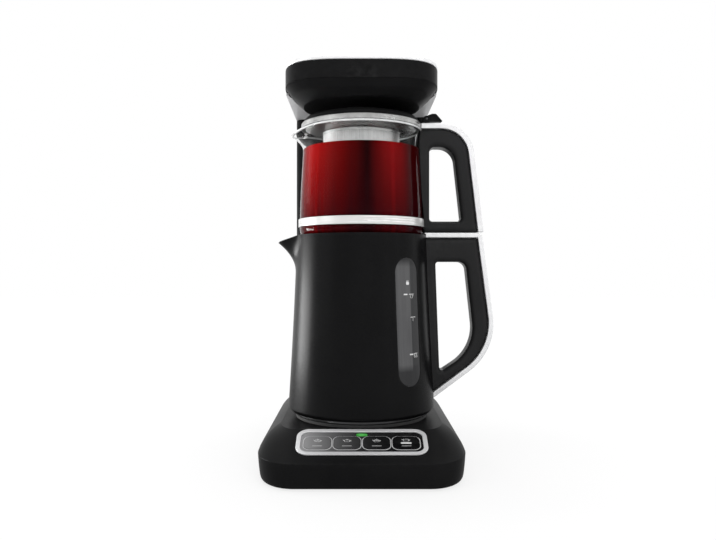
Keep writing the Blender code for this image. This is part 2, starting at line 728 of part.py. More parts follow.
FOOT_PLACES = [(side * FOOT_X, y) for y in (FOOT_FRONT_Y, FOOT_REAR_Y) for side in (1, -1)]
BOSS_PLACES = [(side * BOSS_X, y) for y in (BOSS_FRONT_Y, BOSS_REAR_Y) for side in (1, -1)]
SCREW_HEAD_BASE = BASE_LIFT + SCREW_SINK
SCREW_HEAD_TOP = SCREW_HEAD_BASE + SCREW_HEAD_HEIGHT
BOARD_TOP = (-PLATE_THICKNESS - FIT - BUTTON_FLANGE - BUTTON_STEM - BUTTON_TRAVEL
             - FIT - SWITCH_HEIGHT)
POCKET_DEPTH = PLATE_THICKNESS + FIT


def base_housing(machine, panel):
    """Shell of the base, open below, with bosses, posts, pocket and hose holes."""
    deck = cornered_ring(DECK_HALF_WIDTH, DECK_FRONT_INSET - BASE_FRONT,
                         BASE_REAR - DECK_REAR_INSET, (DECK_FRONT_ACROSS, DECK_FRONT_ALONG),
                         (DECK_REAR_CORNER, DECK_REAR_CORNER), DECK_Z)
    rings = [base_ring(BASE_HEM, BASE_LIFT), base_ring(0.0, BASE_LIFT + BASE_HEM_HEIGHT),
             base_ring(0.0, CREASE_Z), deck]
    housing = skin("base_housing", rings, SATIN_BLACK, machine, roof=True)
    thicken(housing, BASE_WALL)
    boss_base = COVER_TOP + FIT
    boss_top = DECK_Z - BASE_WALL / 2
    for number, (x, y) in enumerate(BOSS_PLACES):
        boss = cylinder(f"boss_{number}", BOSS_R, boss_top - boss_base, None, machine,
                        (x, y, (boss_top + boss_base) / 2), sides=PIPE_SIDES)
        join(housing, boss)
    for side in (-1, 1):
        for end in (-1, 1):
            length = -BOARD_TOP - FIT - BASE_WALL / 2
            post = cylinder(f"board_post_{side}_{end}", BOARD_POST_R, length, None, panel,
                            (side * BOARD_POST_X, end * BOARD_POST_Y, BOARD_TOP + FIT + length / 2),
                            sides=SCREW_SIDES)
            join(housing, post)
    pocket = slab("panel_pocket",
                  [rounded_box(PLATE_WIDTH + FIT * 2, PLATE_HEIGHT + FIT * 2, PLATE_CORNER + FIT)],
                  POCKET_DEPTH + OVERRUN, None, panel, (0.0, 0.0, -POCKET_DEPTH))
    window = slab("panel_window",
                  [rounded_box(PLATE_WIDTH - LEDGE * 2, PLATE_HEIGHT - LEDGE * 2,
                               PLATE_CORNER - LEDGE)],
                  BASE_WALL + OVERRUN * 2, None, panel, (0.0, 0.0, -BASE_WALL - OVERRUN))
    cut(housing, pocket, window)
    bore_base = boss_base - OVERRUN
    bore_top = SCREW_HEAD_TOP + SCREW_LENGTH + FIT
    for number, (x, y) in enumerate(BOSS_PLACES):
        bore = cylinder(f"boss_bore_{number}", SCREW_SHANK_R + FIT, bore_top - bore_base, None,
                        machine, (x, y, (bore_top + bore_base) / 2), sides=SCREW_SIDES)
        cut(housing, bore)
    hole_length = BASE_WALL + OVERRUN * 2
    hole_z = DECK_Z - BASE_WALL / 2
    inlet_hole = cylinder("inlet_hole", INLET_HOSE_R + HOSE_PLAY, hole_length, None, machine,
                          (PUMP_X, DOCK_FRONT + DOCK_BORE_INSET, hole_z))
    riser_hole = cylinder("riser_hole", RISER_R + HOSE_PLAY, hole_length, None, machine,
                          (PUMP_X, RISER_Y, hole_z))
    gland_hole = cylinder("gland_hole", GLAND_NECK_R + FIT, hole_length, None, machine,
                          (GLAND_X, BASE_REAR - BASE_WALL / 2, GLAND_Z), (math.radians(90), 0.0, 0.0))
    cut(housing, inlet_hole, riser_hole, gland_hole)


def base_cover(machine):
    """Floor plate of the base, with foot recesses, screw holes and board posts."""
    inset = BASE_HEM + BASE_WALL + FIT
    cover = slab("base_cover", [flat(base_ring(inset, 0.0))], COVER_THICKNESS, SATIN_BLACK, machine,
                 (0.0, 0.0, BASE_LIFT))
    recess_top = FOOT_HEIGHT + FIT
    for number, (x, y) in enumerate(FOOT_PLACES):
        recess = cylinder(f"foot_recess_{number}", FOOT_R + FIT, recess_top, None, machine,
                          (x, y, recess_top / 2))
        cut(cover, recess)
    head_top = SCREW_HEAD_TOP + FIT
    for number, (x, y) in enumerate(BOSS_PLACES):
        profile = [(0.0, COVER_TOP + OVERRUN), (SCREW_SHANK_R + FIT, COVER_TOP + OVERRUN),
                   (SCREW_SHANK_R + FIT, head_top), (SCREW_HEAD_R + FIT, head_top),
                   (SCREW_HEAD_R + FIT, 0.0), (0.0, 0.0)]
        cut(cover, turned(f"screw_hole_{number}", profile, None, machine, (x, y, 0.0),
                          sides=SCREW_SIDES))
    for number, (x, y) in enumerate(power_post_places()):
        length = POWER_POST_HEIGHT + COVER_THICKNESS / 2
        join(cover, cylinder(f"power_post_{number}", POWER_POST_R, length, None, machine,
                             (x, y, COVER_TOP + POWER_POST_HEIGHT - length / 2), sides=SCREW_SIDES))


def power_post_places():
    """Posts under the corners of the power board."""
    across = POWER_BOARD_WIDTH / 2 - POWER_POST_INSET
    along = POWER_BOARD_DEPTH / 2 - POWER_POST_INSET
    return [(POWER_BOARD_X + side * across, POWER_BOARD_Y + end * along)
            for side in (-1, 1) for end in (-1, 1)]


def feet_and_screws(machine):
    """Four rubber feet and the four screws that hold the cover."""
    for number, (x, y) in enumerate(FOOT_PLACES):
        cylinder(f"foot_{number + 1}", FOOT_R, FOOT_HEIGHT, RUBBER, machine, (x, y, FOOT_HEIGHT / 2))
    profile = [(0.0, SCREW_HEAD_HEIGHT + SCREW_LENGTH),
               (SCREW_SHANK_R, SCREW_HEAD_HEIGHT + SCREW_LENGTH),
               (SCREW_SHANK_R, SCREW_HEAD_HEIGHT), (SCREW_HEAD_R, SCREW_HEAD_HEIGHT),
               (SCREW_HEAD_R, 0.0), (0.0, 0.0)]
    for number, (x, y) in enumerate(BOSS_PLACES):
        turned(f"cover_screw_{number + 1}", profile, STEEL, machine, (x, y, SCREW_HEAD_BASE),
               sides=SCREW_SIDES)


def control_panel(panel):
    """Bezel, plate, lens, buttons and the board with its switches."""
    outer = rounded_box(BEZEL_WIDTH, BEZEL_HEIGHT, BEZEL_CORNER)
    inner = rounded_box(PANEL_INNER_WIDTH, PANEL_INNER_HEIGHT, BEZEL_CORNER - BEZEL_BAND)
    bezel = slab("panel_bezel", [outer, inner], BEZEL_THICKNESS, BRIGHT_TRIM, panel, (0.0, 0.0, FIT))
    round_edges(bezel, BEZEL_ROUND, 1)
    places = [(BUTTON_PITCH * (number - (BUTTON_COUNT - 1) / 2), BUTTON_OFFSET)
              for number in range(BUTTON_COUNT)]
    lens_loop = rounded_box(LENS_WIDTH, LENS_HEIGHT, LENS_HEIGHT / 2 - MERGE, (0.0, LENS_OFFSET),
                            KEY_STEPS)
    lens_hole = rounded_box(LENS_WIDTH + FIT * 2, LENS_HEIGHT + FIT * 2,
                            LENS_HEIGHT / 2 + FIT - MERGE, (0.0, LENS_OFFSET), KEY_STEPS)
    loops = [rounded_box(PLATE_WIDTH, PLATE_HEIGHT, PLATE_CORNER), lens_hole]
    for place in places:
        loops.append(rounded_box(BUTTON_WIDTH + FIT * 2, BUTTON_HEIGHT + FIT * 2,
                                 BUTTON_CORNER + FIT, place, KEY_STEPS))
    slab("panel_plate", loops, PLATE_THICKNESS, GLOSS_BLACK, panel, (0.0, 0.0, -PLATE_THICKNESS))
    slab("status_lens", [lens_loop], PLATE_THICKNESS, GREEN_LENS, panel,
         (0.0, 0.0, -PLATE_THICKNESS))
    for number, (x, y) in enumerate(places):
        button(number + 1, x, y, panel)
    board = box("control_board", (BOARD_WIDTH, BOARD_HEIGHT, BOARD_THICKNESS), CIRCUIT_GREEN, panel,
                (0.0, 0.0, BOARD_TOP - BOARD_THICKNESS / 2))
    for number, (x, y) in enumerate(places):
        height = SWITCH_HEIGHT + BOARD_THICKNESS / 2
        join(board, box(f"switch_{number + 1}", (SWITCH_SIZE, SWITCH_SIZE, height), None, panel,
                        (x, y, BOARD_TOP + SWITCH_HEIGHT - height / 2)))


def button(number, x, y, panel):
    """One key: a cap through the plate, a flange under it and a stem for its switch."""
    outline = rounded_box(BUTTON_WIDTH, BUTTON_HEIGHT, BUTTON_CORNER, steps=KEY_STEPS)
    cap = slab(f"button_{number}", [outline],
               BUTTON_PROUD + PLATE_THICKNESS + FIT + BUTTON_FLANGE / 2, GLOSS_BLACK, panel,
               (x, y, 0.0))
    underside = -PLATE_THICKNESS - FIT - BUTTON_FLANGE / 2
    cap.data.transform(Matrix.Translation((0.0, 0.0, underside)))
    flange = slab(f"button_flange_{number}",
                  [rounded_box(BUTTON_WIDTH + BUTTON_LIP * 2, BUTTON_HEIGHT + BUTTON_LIP * 2,
                               BUTTON_CORNER, steps=2)],
                  BUTTON_FLANGE, None, panel, (x, y, -PLATE_THICKNESS - FIT - BUTTON_FLANGE))
    length = BUTTON_STEM + BUTTON_FLANGE / 2
    stem = cylinder(f"button_stem_{number}", BUTTON_STEM_R, length, None, panel,
                    (x, y, underside - length / 2), sides=SCREW_SIDES)
    join(cap, flange, stem)


def power_board(machine):
    """Mains board with its relay and capacitor."""
    base = COVER_TOP + POWER_POST_HEIGHT + FIT
    top = base + BOARD_THICKNESS
    board = box("power_board", (POWER_BOARD_WIDTH, POWER_BOARD_DEPTH, BOARD_THICKNESS), CIRCUIT_GREEN,
                machine, (POWER_BOARD_X, POWER_BOARD_Y, base + BOARD_THICKNESS / 2))
    sunk = BOARD_THICKNESS / 2
    relay = box("relay", (RELAY_WIDTH, RELAY_DEPTH, RELAY_HEIGHT + sunk), None, machine,
                (POWER_BOARD_X + RELAY_X, POWER_BOARD_Y, top + (RELAY_HEIGHT - sunk) / 2))
    capacitor = cylinder("capacitor", CAPACITOR_R, CAPACITOR_HEIGHT + sunk, None, machine,
                         (POWER_BOARD_X + CAPACITOR_X, POWER_BOARD_Y,
                          top + (CAPACITOR_HEIGHT - sunk) / 2))
    join(board, relay, capacitor)


def pump_and_hoses(machine):
    """Pump lying along Y, the hose from the dock and the riser to the head."""
    front = RISER_Y - PUMP_LENGTH / 3
    lie = (math.radians(90), 0.0, 0.0)
    pump = cylinder("water_pump", PUMP_R, PUMP_LENGTH, SATIN_BLACK, machine,
                    (PUMP_X, front + PUMP_LENGTH / 2, PUMP_Z), lie, sides=PUMP_SIDES)
    foot_height = PUMP_R + FIT
    foot = box("pump_foot", (PUMP_FOOT_WIDTH, PUMP_FOOT_DEPTH, foot_height), None, machine,
               (PUMP_X, front + PUMP_LENGTH / 2, COVER_TOP + FIT + foot_height / 2))
    inlet = cylinder("pump_inlet", NIPPLE_R, PUMP_INLET * 2, None, machine, (PUMP_X, front, PUMP_Z), lie)
    outlet_top = PUMP_Z + PUMP_R + PUMP_OUTLET
    outlet = cylinder("pump_outlet", NIPPLE_R, PUMP_R + PUMP_OUTLET, None, machine,
                      (PUMP_X, RISER_Y, (PUMP_Z + outlet_top) / 2))
    join(pump, foot, inlet, outlet)
    dock_y = DOCK_FRONT + DOCK_BORE_INSET
    places = [(PUMP_X, dock_y, DECK_Z), (PUMP_X, dock_y, PUMP_Z),
              (PUMP_X, front - PUMP_INLET - FIT, PUMP_Z)]
    bend = min(INLET_HOSE_BEND, front - PUMP_INLET - FIT - dock_y)
    tube("pump_inlet_hose", route(places, bend), INLET_HOSE_R, CLEAR_SILICONE, machine)
    run = BLOCK_TOP + RISER_HEAD_Z
    spray_top = BLOCK_BASE - SPRAY_PROUD + SPRAY_HEIGHT
    places = [(PUMP_X, RISER_Y, outlet_top + FIT), (PUMP_X, RISER_Y, run), (0.0, 0.0, run),
              (0.0, 0.0, spray_top + FIT)]
    bend = min(RISER_BEND, run - spray_top - FIT)
    tube("riser_hose", route(places, bend), RISER_R, CLEAR_SILICONE, machine)


def cord_gland(machine):
    """Flanged gland in the rear wall where the mains lead enters."""
    profile = [(GLAND_FLANGE_R, GLAND_FLANGE), (GLAND_FLANGE_R, 0.0), (GLAND_NECK_R, 0.0),
               (GLAND_NECK_R, -GLAND_NECK), (GLAND_BORE_R, -GLAND_NECK),
               (GLAND_BORE_R, GLAND_FLANGE)]
    turned("cord_gland", profile, RUBBER, machine, (GLAND_X, BASE_REAR + FIT, GLAND_Z),
           sides=SMALL_SIDES, turn=(math.radians(-90), 0.0, 0.0), closed=True)


def seat_and_dock(machine):
    """The disc that the kettle stands on, and the dock that it slides back on to."""
    top = SEAT_HEIGHT
    profile = [(0.0, top), (SEAT_R - SEAT_CHAMFER, top), (SEAT_R, top - SEAT_CHAMFER),
               (SEAT_R, 0.0), (0.0, 0.0)]
    turned("kettle_seat", profile, RUBBER, machine, (0.0, 0.0, DECK_Z + FIT))
    block = box("dock_block", (DOCK_WIDTH, DOCK_DEPTH, DOCK_HEIGHT), SATIN_BLACK, machine,
                (0.0, (DOCK_FRONT + DOCK_BACK) / 2, DOCK_BASE + DOCK_HEIGHT / 2))
    length = TONGUE_LENGTH + DOCK_DEPTH / 2
    tongue = box("dock_tongue", (TONGUE_WIDTH, length, TONGUE_HEIGHT), None, machine,
                 (0.0, TONGUE_FRONT + length / 2, NOZZLE_Z))
    lie = (math.radians(90), 0.0, 0.0)
    bore_y = DOCK_FRONT + DOCK_BORE_INSET
    bore_length = bore_y - TONGUE_FRONT + OVERRUN
    across = cylinder("dock_bore", NOZZLE_R + FIT, bore_length, None, machine,
                      (PUMP_X, TONGUE_FRONT - OVERRUN + bore_length / 2, NOZZLE_Z), lie)
    down_length = NOZZLE_Z - DOCK_BASE + OVERRUN
    down = cylinder("dock_drop", DOCK_BORE_R, down_length, None, machine,
                    (PUMP_X, bore_y, NOZZLE_Z - down_length / 2))
    join(block, tongue)
    cut(block, across, down)
    length = NOZZLE_REACH + NOZZLE_SEAT
    turned("dock_nozzle", ring_profile(NOZZLE_BORE_R, NOZZLE_R, 0.0, length), STEEL, machine,
           (PUMP_X, TONGUE_FRONT + NOZZLE_SEAT, NOZZLE_Z), sides=PIPE_SIDES,
           turn=lie, closed=True)


def column_loop(front, rear, radius, open_at_front):
    """A U-shaped wall section: outer run, then the inner run back."""
    side = COLUMN_HALF_WIDTH
    wall = COLUMN_WALL
    if open_at_front:
        outer = [(side, front, 0.0), (side, rear, radius), (-side, rear, radius), (-side, front, 0.0)]
        inner = [(wall - side, front, 0.0), (wall - side, rear - wall, radius - wall),
                 (side - wall, rear - wall, radius - wall), (side - wall, front, 0.0)]
    else:
        outer = [(-side, rear, 0.0), (-side, front, radius), (side, front, radius), (side, rear, 0.0)]
        inner = [(side - wall, rear, 0.0), (side - wall, front + wall, radius - wall),
                 (wall - side, front + wall, radius - wall), (wall - side, rear, 0.0)]
    return rounded(outer + inner)


def column(machine):
    """Front and rear halves of the hollow column."""
    base = DECK_Z + FIT
    height = BLOCK_TOP - SOFFIT_THICKNESS - FIT - base
    slab("column_shell",
         [column_loop(COLUMN_FRONT, COLUMN_SPLIT, COLUMN_FRONT_CORNER, open_at_front=False)],
         height, SATIN_BLACK, machine, (0.0, 0.0, base))
    slab("column_rear_cover",
         [column_loop(COLUMN_SPLIT + FIT, COLUMN_REAR, COLUMN_REAR_CORNER, open_at_front=True)],
         height, SATIN_BLACK, machine, (0.0, 0.0, base))


def front_curve(inset, start_y=0.0):
    """The head's squarish front from its left side round to its right side."""
    across = COLUMN_HALF_WIDTH - inset
    along = HEAD_FRONT - inset
    power = 2 / HEAD_SQUARENESS
    points = []
    for step in range(HEAD_STEPS * 2 + 1):
        angle = math.pi * (1 + step / (HEAD_STEPS * 2))
        x = across * math.copysign(abs(math.cos(angle)) ** power, math.cos(angle))
        y = -along * abs(math.sin(angle)) ** power
        if y <= start_y:
            points.append((x, y))
    return points


def head_loop(inset):
    """Plan of the head, drawn in by an inset: front curve, sides and rear corners."""
    side = COLUMN_HALF_WIDTH - inset
    rear = COLUMN_REAR - inset
    radius = COLUMN_REAR_CORNER - inset
    front = [(x, y, 0.0) for x, y in front_curve(inset)]
    return rounded(front + [(side, rear, radius), (-side, rear, radius)])


def block_loop(grow=0.0):
    """Plan of the brewing block's top: the head's front and a rounder back."""
    front = front_curve(-grow, BLOCK_SHOULDER)
    side = front[-1][0]
    shoulder = front[-1][1]
    rear = BLOCK_REAR + grow - shoulder
    points = list(front)
    for step in range(1, BLOCK_STEPS):
        angle = math.pi * step / BLOCK_STEPS
        points.append((side * math.cos(angle), shoulder + rear * math.sin(angle)))
    return points


def head(machine):
    """Shell, silver rim, top plate, silver soffit, brewing block and spray head."""
    slab("head_shell", [head_loop(0.0), head_loop(HEAD_WALL)], HEAD_WALL_HEIGHT, SATIN_BLACK, machine,
         (0.0, 0.0, HEAD_BASE))
    rim = slab("head_rim", [head_loop(0.0), head_loop(RIM_WIDTH)], RIM_HEIGHT, BRIGHT_TRIM, machine,
               (0.0, 0.0, HEAD_WALL_TOP + FIT))
    round_edges(rim, RIM_ROUND, 1)
    slab("head_top_plate", [head_loop(RIM_WIDTH + FIT)], TOP_THICKNESS, GLOSS_BLACK, machine,
         (0.0, 0.0, HEAD_TOP - TOP_DROP - TOP_THICKNESS))
    soffit_z = BLOCK_TOP - SOFFIT_THICKNESS
    soffit = slab("head_soffit", [head_loop(0.0)], SOFFIT_THICKNESS, SILVER_PLASTIC, machine,
                  (0.0, 0.0, soffit_z))
    tall = SOFFIT_THICKNESS + OVERRUN * 2
    under = slab("soffit_block_hole", [block_loop(FIT)], tall, None, machine,
                 (0.0, 0.0, soffit_z - OVERRUN))
    depth = HEAD_FRONT + SOFFIT_FRONT + OVERRUN
    ahead = box("soffit_front_cut", (COLUMN_HALF_WIDTH * 2 + OVERRUN * 2, depth, tall), None, machine,
                (0.0, SOFFIT_FRONT - depth / 2, soffit_z + SOFFIT_THICKNESS / 2))
    hose = cylinder("soffit_hose_hole", RISER_R + HOSE_PLAY, tall, None, machine,
                    (PUMP_X, RISER_Y, soffit_z + SOFFIT_THICKNESS / 2))
    cut(soffit, under, ahead, hose)
    brewing_block(machine)
    spray_head(machine)


def brewing_block(machine):
    """Tub under the head: squarish at the top and round at the bottom."""
    rings = []
    top = block_loop()
    for height_share, width_share in block_level_shares:
        ring = []
        for x, y in top:
            angle = math.atan2(y, x)
            low_x = BLOCK_R * math.cos(angle)
            low_y = BLOCK_R * math.sin(angle)
            ring.append((low_x + (x - low_x) * width_share, low_y + (y - low_y) * width_share,
                         BLOCK_BASE + BLOCK_HEIGHT * height_share))
        rings.append(ring)
    block = skin("brewing_block", rings, SATIN_BLACK, machine, floor=True)
    thicken(block, BLOCK_WALL)
    above = box("block_top_cut", (COLUMN_HALF_WIDTH * 2 + OVERRUN * 2, HEAD_FRONT * 2 + OVERRUN * 2,
                                  BLOCK_HEIGHT), None, machine,
                (0.0, 0.0, BLOCK_TOP + BLOCK_HEIGHT / 2))
    hole = cylinder("spray_hole", SPRAY_R + FIT, BLOCK_WALL + OVERRUN * 2, None, machine,
                    (0.0, 0.0, BLOCK_BASE + BLOCK_WALL / 2), sides=SPRAY_SIDES)
    cut(block, above, hole)


def spray_head(machine):
    """Plug through the block's floor, with its flange inside and a bore for the water."""
    base = BLOCK_BASE - SPRAY_PROUD
    flange = BLOCK_BASE + BLOCK_WALL + FIT
    top = base + SPRAY_HEIGHT
    profile = [(SPRAY_BOSS_R, top), (SPRAY_BOSS_R, flange + SPRAY_FLANGE),
               (SPRAY_FLANGE_R, flange + SPRAY_FLANGE), (SPRAY_FLANGE_R, flange), (SPRAY_R, flange),
               (SPRAY_R, base), (SPRAY_BORE_R, base), (SPRAY_BORE_R, top)]
    turned("spray_head", profile, SILVER_PLASTIC, machine, sides=SMALL_SIDES, closed=True)


def kettle_radius(z):
    """Outer radius of the kettle's wall: upright at the rim and flaring downwards."""
    share = max(0.0, (KETTLE_RIM - z) / (KETTLE_HEIGHT - KETTLE_CHAMFER))
    return KETTLE_RIM_R + (KETTLE_BELLY_R - KETTLE_RIM_R) * share ** kettle_flare_share


def kettle_rows():
    """Heights of the rings of the kettle's wall, from above its chamfer."""
    low = KETTLE_BASE + KETTLE_CHAMFER
    return [low] + [low + (KETTLE_RIM - low) * share for share in kettle_row_shares]


def spout_angles(half_degrees):
    """Angles of a ring's points: even, and closer together across the spout at -X."""
    half = math.radians(half_degrees)
    step = 2 * math.pi / ROUND_SIDES
    angles = [index * step for index in range(ROUND_SIDES) if abs(index * step - math.pi) > half]
    angles += [math.pi - half + 2 * half * index / SPOUT_STEPS for index in range(SPOUT_STEPS + 1)]
    return sorted(angles)


def spout_ring(radius, z, rim, height, reach, dip, half_degrees):
    """A ring of a round wall that is drawn out into a spout below its rim."""
    half = math.radians(half_degrees)
    climb = max(0.0, 1 - (rim - z) / height)
    ring = []
    for angle in spout_angles(half_degrees):
        off = abs(angle - math.pi) / half
        swell = (1 + math.cos(math.pi * off)) / 2 if off < 1 else 0.0
        r = radius + reach * swell * climb ** spout_curve_share
        ring.append((r * math.cos(angle), r * math.sin(angle), z - dip * swell * climb))
    return ring


def wall_profile(offset, bottom, top):
    """Outer run of a turned body that keeps an offset from the kettle's wall, downwards."""
    rows = [z for z in kettle_rows() if bottom + MERGE < z < top - MERGE]
    return [(kettle_radius(z) + offset, z) for z in [top] + rows[::-1] + [bottom]]


def window_block(name, grow, inner, outer, look, kettle):
    """An obround block that points along the radius of the level window."""
    loop = rounded_box(WINDOW_WIDTH + grow * 2, WINDOW_HEIGHT + grow * 2,
                       WINDOW_WIDTH / 2 + grow - MERGE, steps=6)
    angle = math.radians(WINDOW_DEGREES)
    middle_z = KETTLE_RIM - WINDOW_DROP - WINDOW_HEIGHT / 2
    return slab(name, [loop], outer - inner, look, kettle,
                (inner * math.sin(angle), -inner * math.cos(angle), middle_z),
                (math.radians(90), 0.0, angle))


def kettle_shell(kettle):
    """The kettle's outer wall with its spout, dock opening and window opening."""
    chamfered = kettle_radius(KETTLE_BASE + KETTLE_CHAMFER) - KETTLE_CHAMFER
    rings = [spout_ring(chamfered, KETTLE_BASE, KETTLE_RIM, SPOUT_HEIGHT, SPOUT_REACH, SPOUT_DIP,
                        spout_half_degrees)]
    for z in kettle_rows():
        rings.append(spout_ring(kettle_radius(z), z, KETTLE_RIM, SPOUT_HEIGHT, SPOUT_REACH, SPOUT_DIP,
                                spout_half_degrees))
    shell = skin("kettle_shell", rings, KETTLE_BLACK, kettle)
    thicken(shell, KETTLE_WALL)
    opening = box("dock_opening", dock_opening_size(KETTLE_BELLY_R), None, kettle,
                  (0.0, KETTLE_BELLY_R, NOZZLE_Z))
    reach = kettle_radius(KETTLE_BASE) + OVERRUN
    window = window_block("window_opening", FIT, KETTLE_RIM_R - LINER_INSET * 2, reach, None, kettle)
    cut(shell, opening, window)


def dock_opening_size(depth):
    """The room that the dock's tongue needs."""
    return (TONGUE_WIDTH + TONGUE_PLAY * 2, depth, TONGUE_HEIGHT + TONGUE_PLAY * 2)


def kettle_underside(kettle):
    """Bottom cap, foot ring, dock socket, heater and the pipe between them."""
    cap_r = kettle_radius(KETTLE_BASE + KETTLE_CHAMFER) - KETTLE_CHAMFER - KETTLE_WALL - FIT * 2
    turned("kettle_bottom_cap", disc_profile(cap_r, 0.0, KETTLE_CAP), SATIN_BLACK, kettle,
           (0.0, 0.0, KETTLE_BASE))
    turned("kettle_foot_ring",
           ring_profile(KETTLE_FOOT_R - KETTLE_FOOT_WIDTH, KETTLE_FOOT_R, 0.0, KETTLE_FOOT_HEIGHT),
           SILVER_PLASTIC, kettle, (0.0, 0.0, KETTLE_FOOT_Z), closed=True)
    pocket_end = TONGUE_FRONT - TONGUE_PLAY
    back = pocket_end + SOCKET_DEPTH
    front = back - SOCKET_LENGTH
    base = KETTLE_BASE + KETTLE_CAP + FIT
    top = TONGUE_BASE + TONGUE_HEIGHT + TONGUE_PLAY + SOCKET_CEILING
    width = TONGUE_WIDTH + TONGUE_PLAY * 2 + SOCKET_WALL * 2
    socket = box("kettle_socket", (width, back - front, top - base), SATIN_BLACK, kettle,
                 (0.0, (front + back) / 2, (base + top) / 2))
    pocket_length = SOCKET_DEPTH + OVERRUN
    pocket = box("socket_pocket", dock_opening_size(pocket_length), None, kettle,
                 (0.0, pocket_end + pocket_length / 2, NOZZLE_Z))
    bore_front = pocket_end - SOCKET_BORE
    bore_length = SOCKET_BORE + OVERRUN
    bore = cylinder("socket_bore", NOZZLE_R + TONGUE_PLAY, bore_length, None, kettle,
                    (PUMP_X, bore_front + bore_length / 2, NOZZLE_Z), (math.radians(90), 0.0, 0.0))
    pipe_y = bore_front + OUTLET_R
    drop_length = top - NOZZLE_Z + OVERRUN
    drop = cylinder("socket_drop", OUTLET_R + FIT, drop_length, None, kettle,
                    (PUMP_X, pipe_y, NOZZLE_Z + drop_length / 2))
    cut(socket, pocket, bore, drop)
    heater_base = top + FIT
    heater = turned("heater_plate", disc_profile(HEATER_R, 0.0, HEATER_THICKNESS), STEEL, kettle,
                    (0.0, 0.0, heater_base))
    cut(heater, cylinder("heater_hole", OUTLET_R + FIT, HEATER_THICKNESS + OVERRUN * 2, None, kettle,
                         (PUMP_X, pipe_y, heater_base + HEATER_THICKNESS / 2)))
    pipe_base = NOZZLE_Z + NOZZLE_R + TONGUE_PLAY + FIT
    pipe_top = heater_base + HEATER_THICKNESS
    turned("outlet_pipe", ring_profile(OUTLET_BORE_R, OUTLET_R, 0.0, pipe_top - pipe_base), STEEL,
           kettle, (PUMP_X, pipe_y, pipe_base), sides=PIPE_SIDES, closed=True)
    kettle_liner(kettle, pipe_top + FIT, pipe_y)


def kettle_liner(kettle, floor, pipe_y):
    """Steel water vessel inside the shell, with its outlet hole and window opening."""
    collar_base = TEAPOT_BASE - FIT - COLLAR_HEIGHT
    offset = -KETTLE_WALL - LINER_INSET
    top = collar_base - FIT
    profile = [(kettle_radius(top) + offset, top), (kettle_radius(floor) + offset, floor), (0.0, floor)]
    liner = turned("kettle_liner", profile, STEEL, kettle)
    thicken(liner, LINER_WALL)
    outlet = cylinder("liner_outlet", OUTLET_BORE_R, LINER_WALL + OVERRUN * 2, None, kettle,
                      (PUMP_X, pipe_y, floor + LINER_WALL / 2))
    inner = KETTLE_RIM_R - LINER_INSET * 3
    window = window_block("liner_opening", FIT, inner, kettle_radius(KETTLE_BASE), None, kettle)
    cut(liner, outlet, window)
    pane = window_block("level_window", 0.0, inner, kettle_radius(KETTLE_BASE), SMOKED_PLASTIC,
                        kettle)
    outer_run = wall_profile(-WINDOW_RECESS, KETTLE_BASE, KETTLE_RIM)
    inner_run = wall_profile(offset - LINER_WALL, KETTLE_BASE, KETTLE_RIM)
    body = turned("window_body", outer_run + inner_run[::-1], None, kettle, sides=ROUND_SIDES,
                  closed=True)
    combine(pane, body, "INTERSECT")
    collar_r = kettle_radius(KETTLE_RIM) - KETTLE_WALL - COLLAR_PLAY
    collar = turned("kettle_collar", ring_profile(COLLAR_R_IN, collar_r, 0.0, COLLAR_HEIGHT), STEEL,
                    kettle, (0.0, 0.0, collar_base), closed=True)
    width = KETTLE_RIM_R * math.sin(math.radians(spout_half_degrees))
    cut(collar, box("collar_notch", (KETTLE_RIM_R, width, COLLAR_HEIGHT + OVERRUN * 2), None, kettle,
                    (-KETTLE_RIM_R - COLLAR_HEIGHT, 0.0, collar_base + COLLAR_HEIGHT / 2)))


def placed(shares, rim_r, reach, top, drop):
    """Corners of a handle's outline in real sizes."""
    return [(rim_r + out * reach, top - down * drop, bend * reach) for out, down, bend in shares]


def upright(name, loops, width, look, parent):
    """A slab that stands in the XZ plane, half its width to each side."""
    return slab(name, loops, width, look, parent, (0.0, width / 2, 0.0), (math.radians(90), 0.0, 0.0))


def handle(name, path, hole, trim, body, parent):
    """A D-shaped handle with a bright trim along its back, both cut to the pot's side."""
    edge = beside(path, trim + FIT)
    inside = (path[0][0], edge[-1][1], 0.0)
    grip = upright(name, [rounded(edge + [inside]), rounded(hole)], GRIP_WIDTH, SATIN_BLACK, parent)
    round_edges(grip, GRIP_ROUND, 1)
    strip = upright(name + "_trim", [rounded(path + beside(path, trim)[::-1])], GRIP_WIDTH,
                    BRIGHT_TRIM, parent)
    cut(grip, body)
    cut(strip, body)


def kettle_grip_path():
    """Outer edge of the kettle's handle from its top inwards end to its toe."""
    return placed(kettle_grip_shares, KETTLE_RIM_R, KETTLE_GRIP_REACH, KETTLE_GRIP_TOP, KETTLE_HEIGHT)


def kettle_handle(kettle):
    """The kettle's handle."""
    hole = placed(kettle_hole_shares, KETTLE_RIM_R, KETTLE_GRIP_REACH, KETTLE_GRIP_TOP, KETTLE_HEIGHT)
    run = wall_profile(FIT, KETTLE_BASE, KETTLE_RIM)
    top = (run[0][0], KETTLE_GRIP_TOP + OVERRUN)
    bottom = (run[-1][0], KETTLE_BASE - KETTLE_HEIGHT / 10)
    profile = [(0.0, top[1]), top] + run + [bottom, (0.0, bottom[1])]
    body = turned("kettle_envelope", profile, None, kettle, sides=ROUND_SIDES)
    handle("kettle_handle", kettle_grip_path(), hole, KETTLE_TRIM, body, kettle)


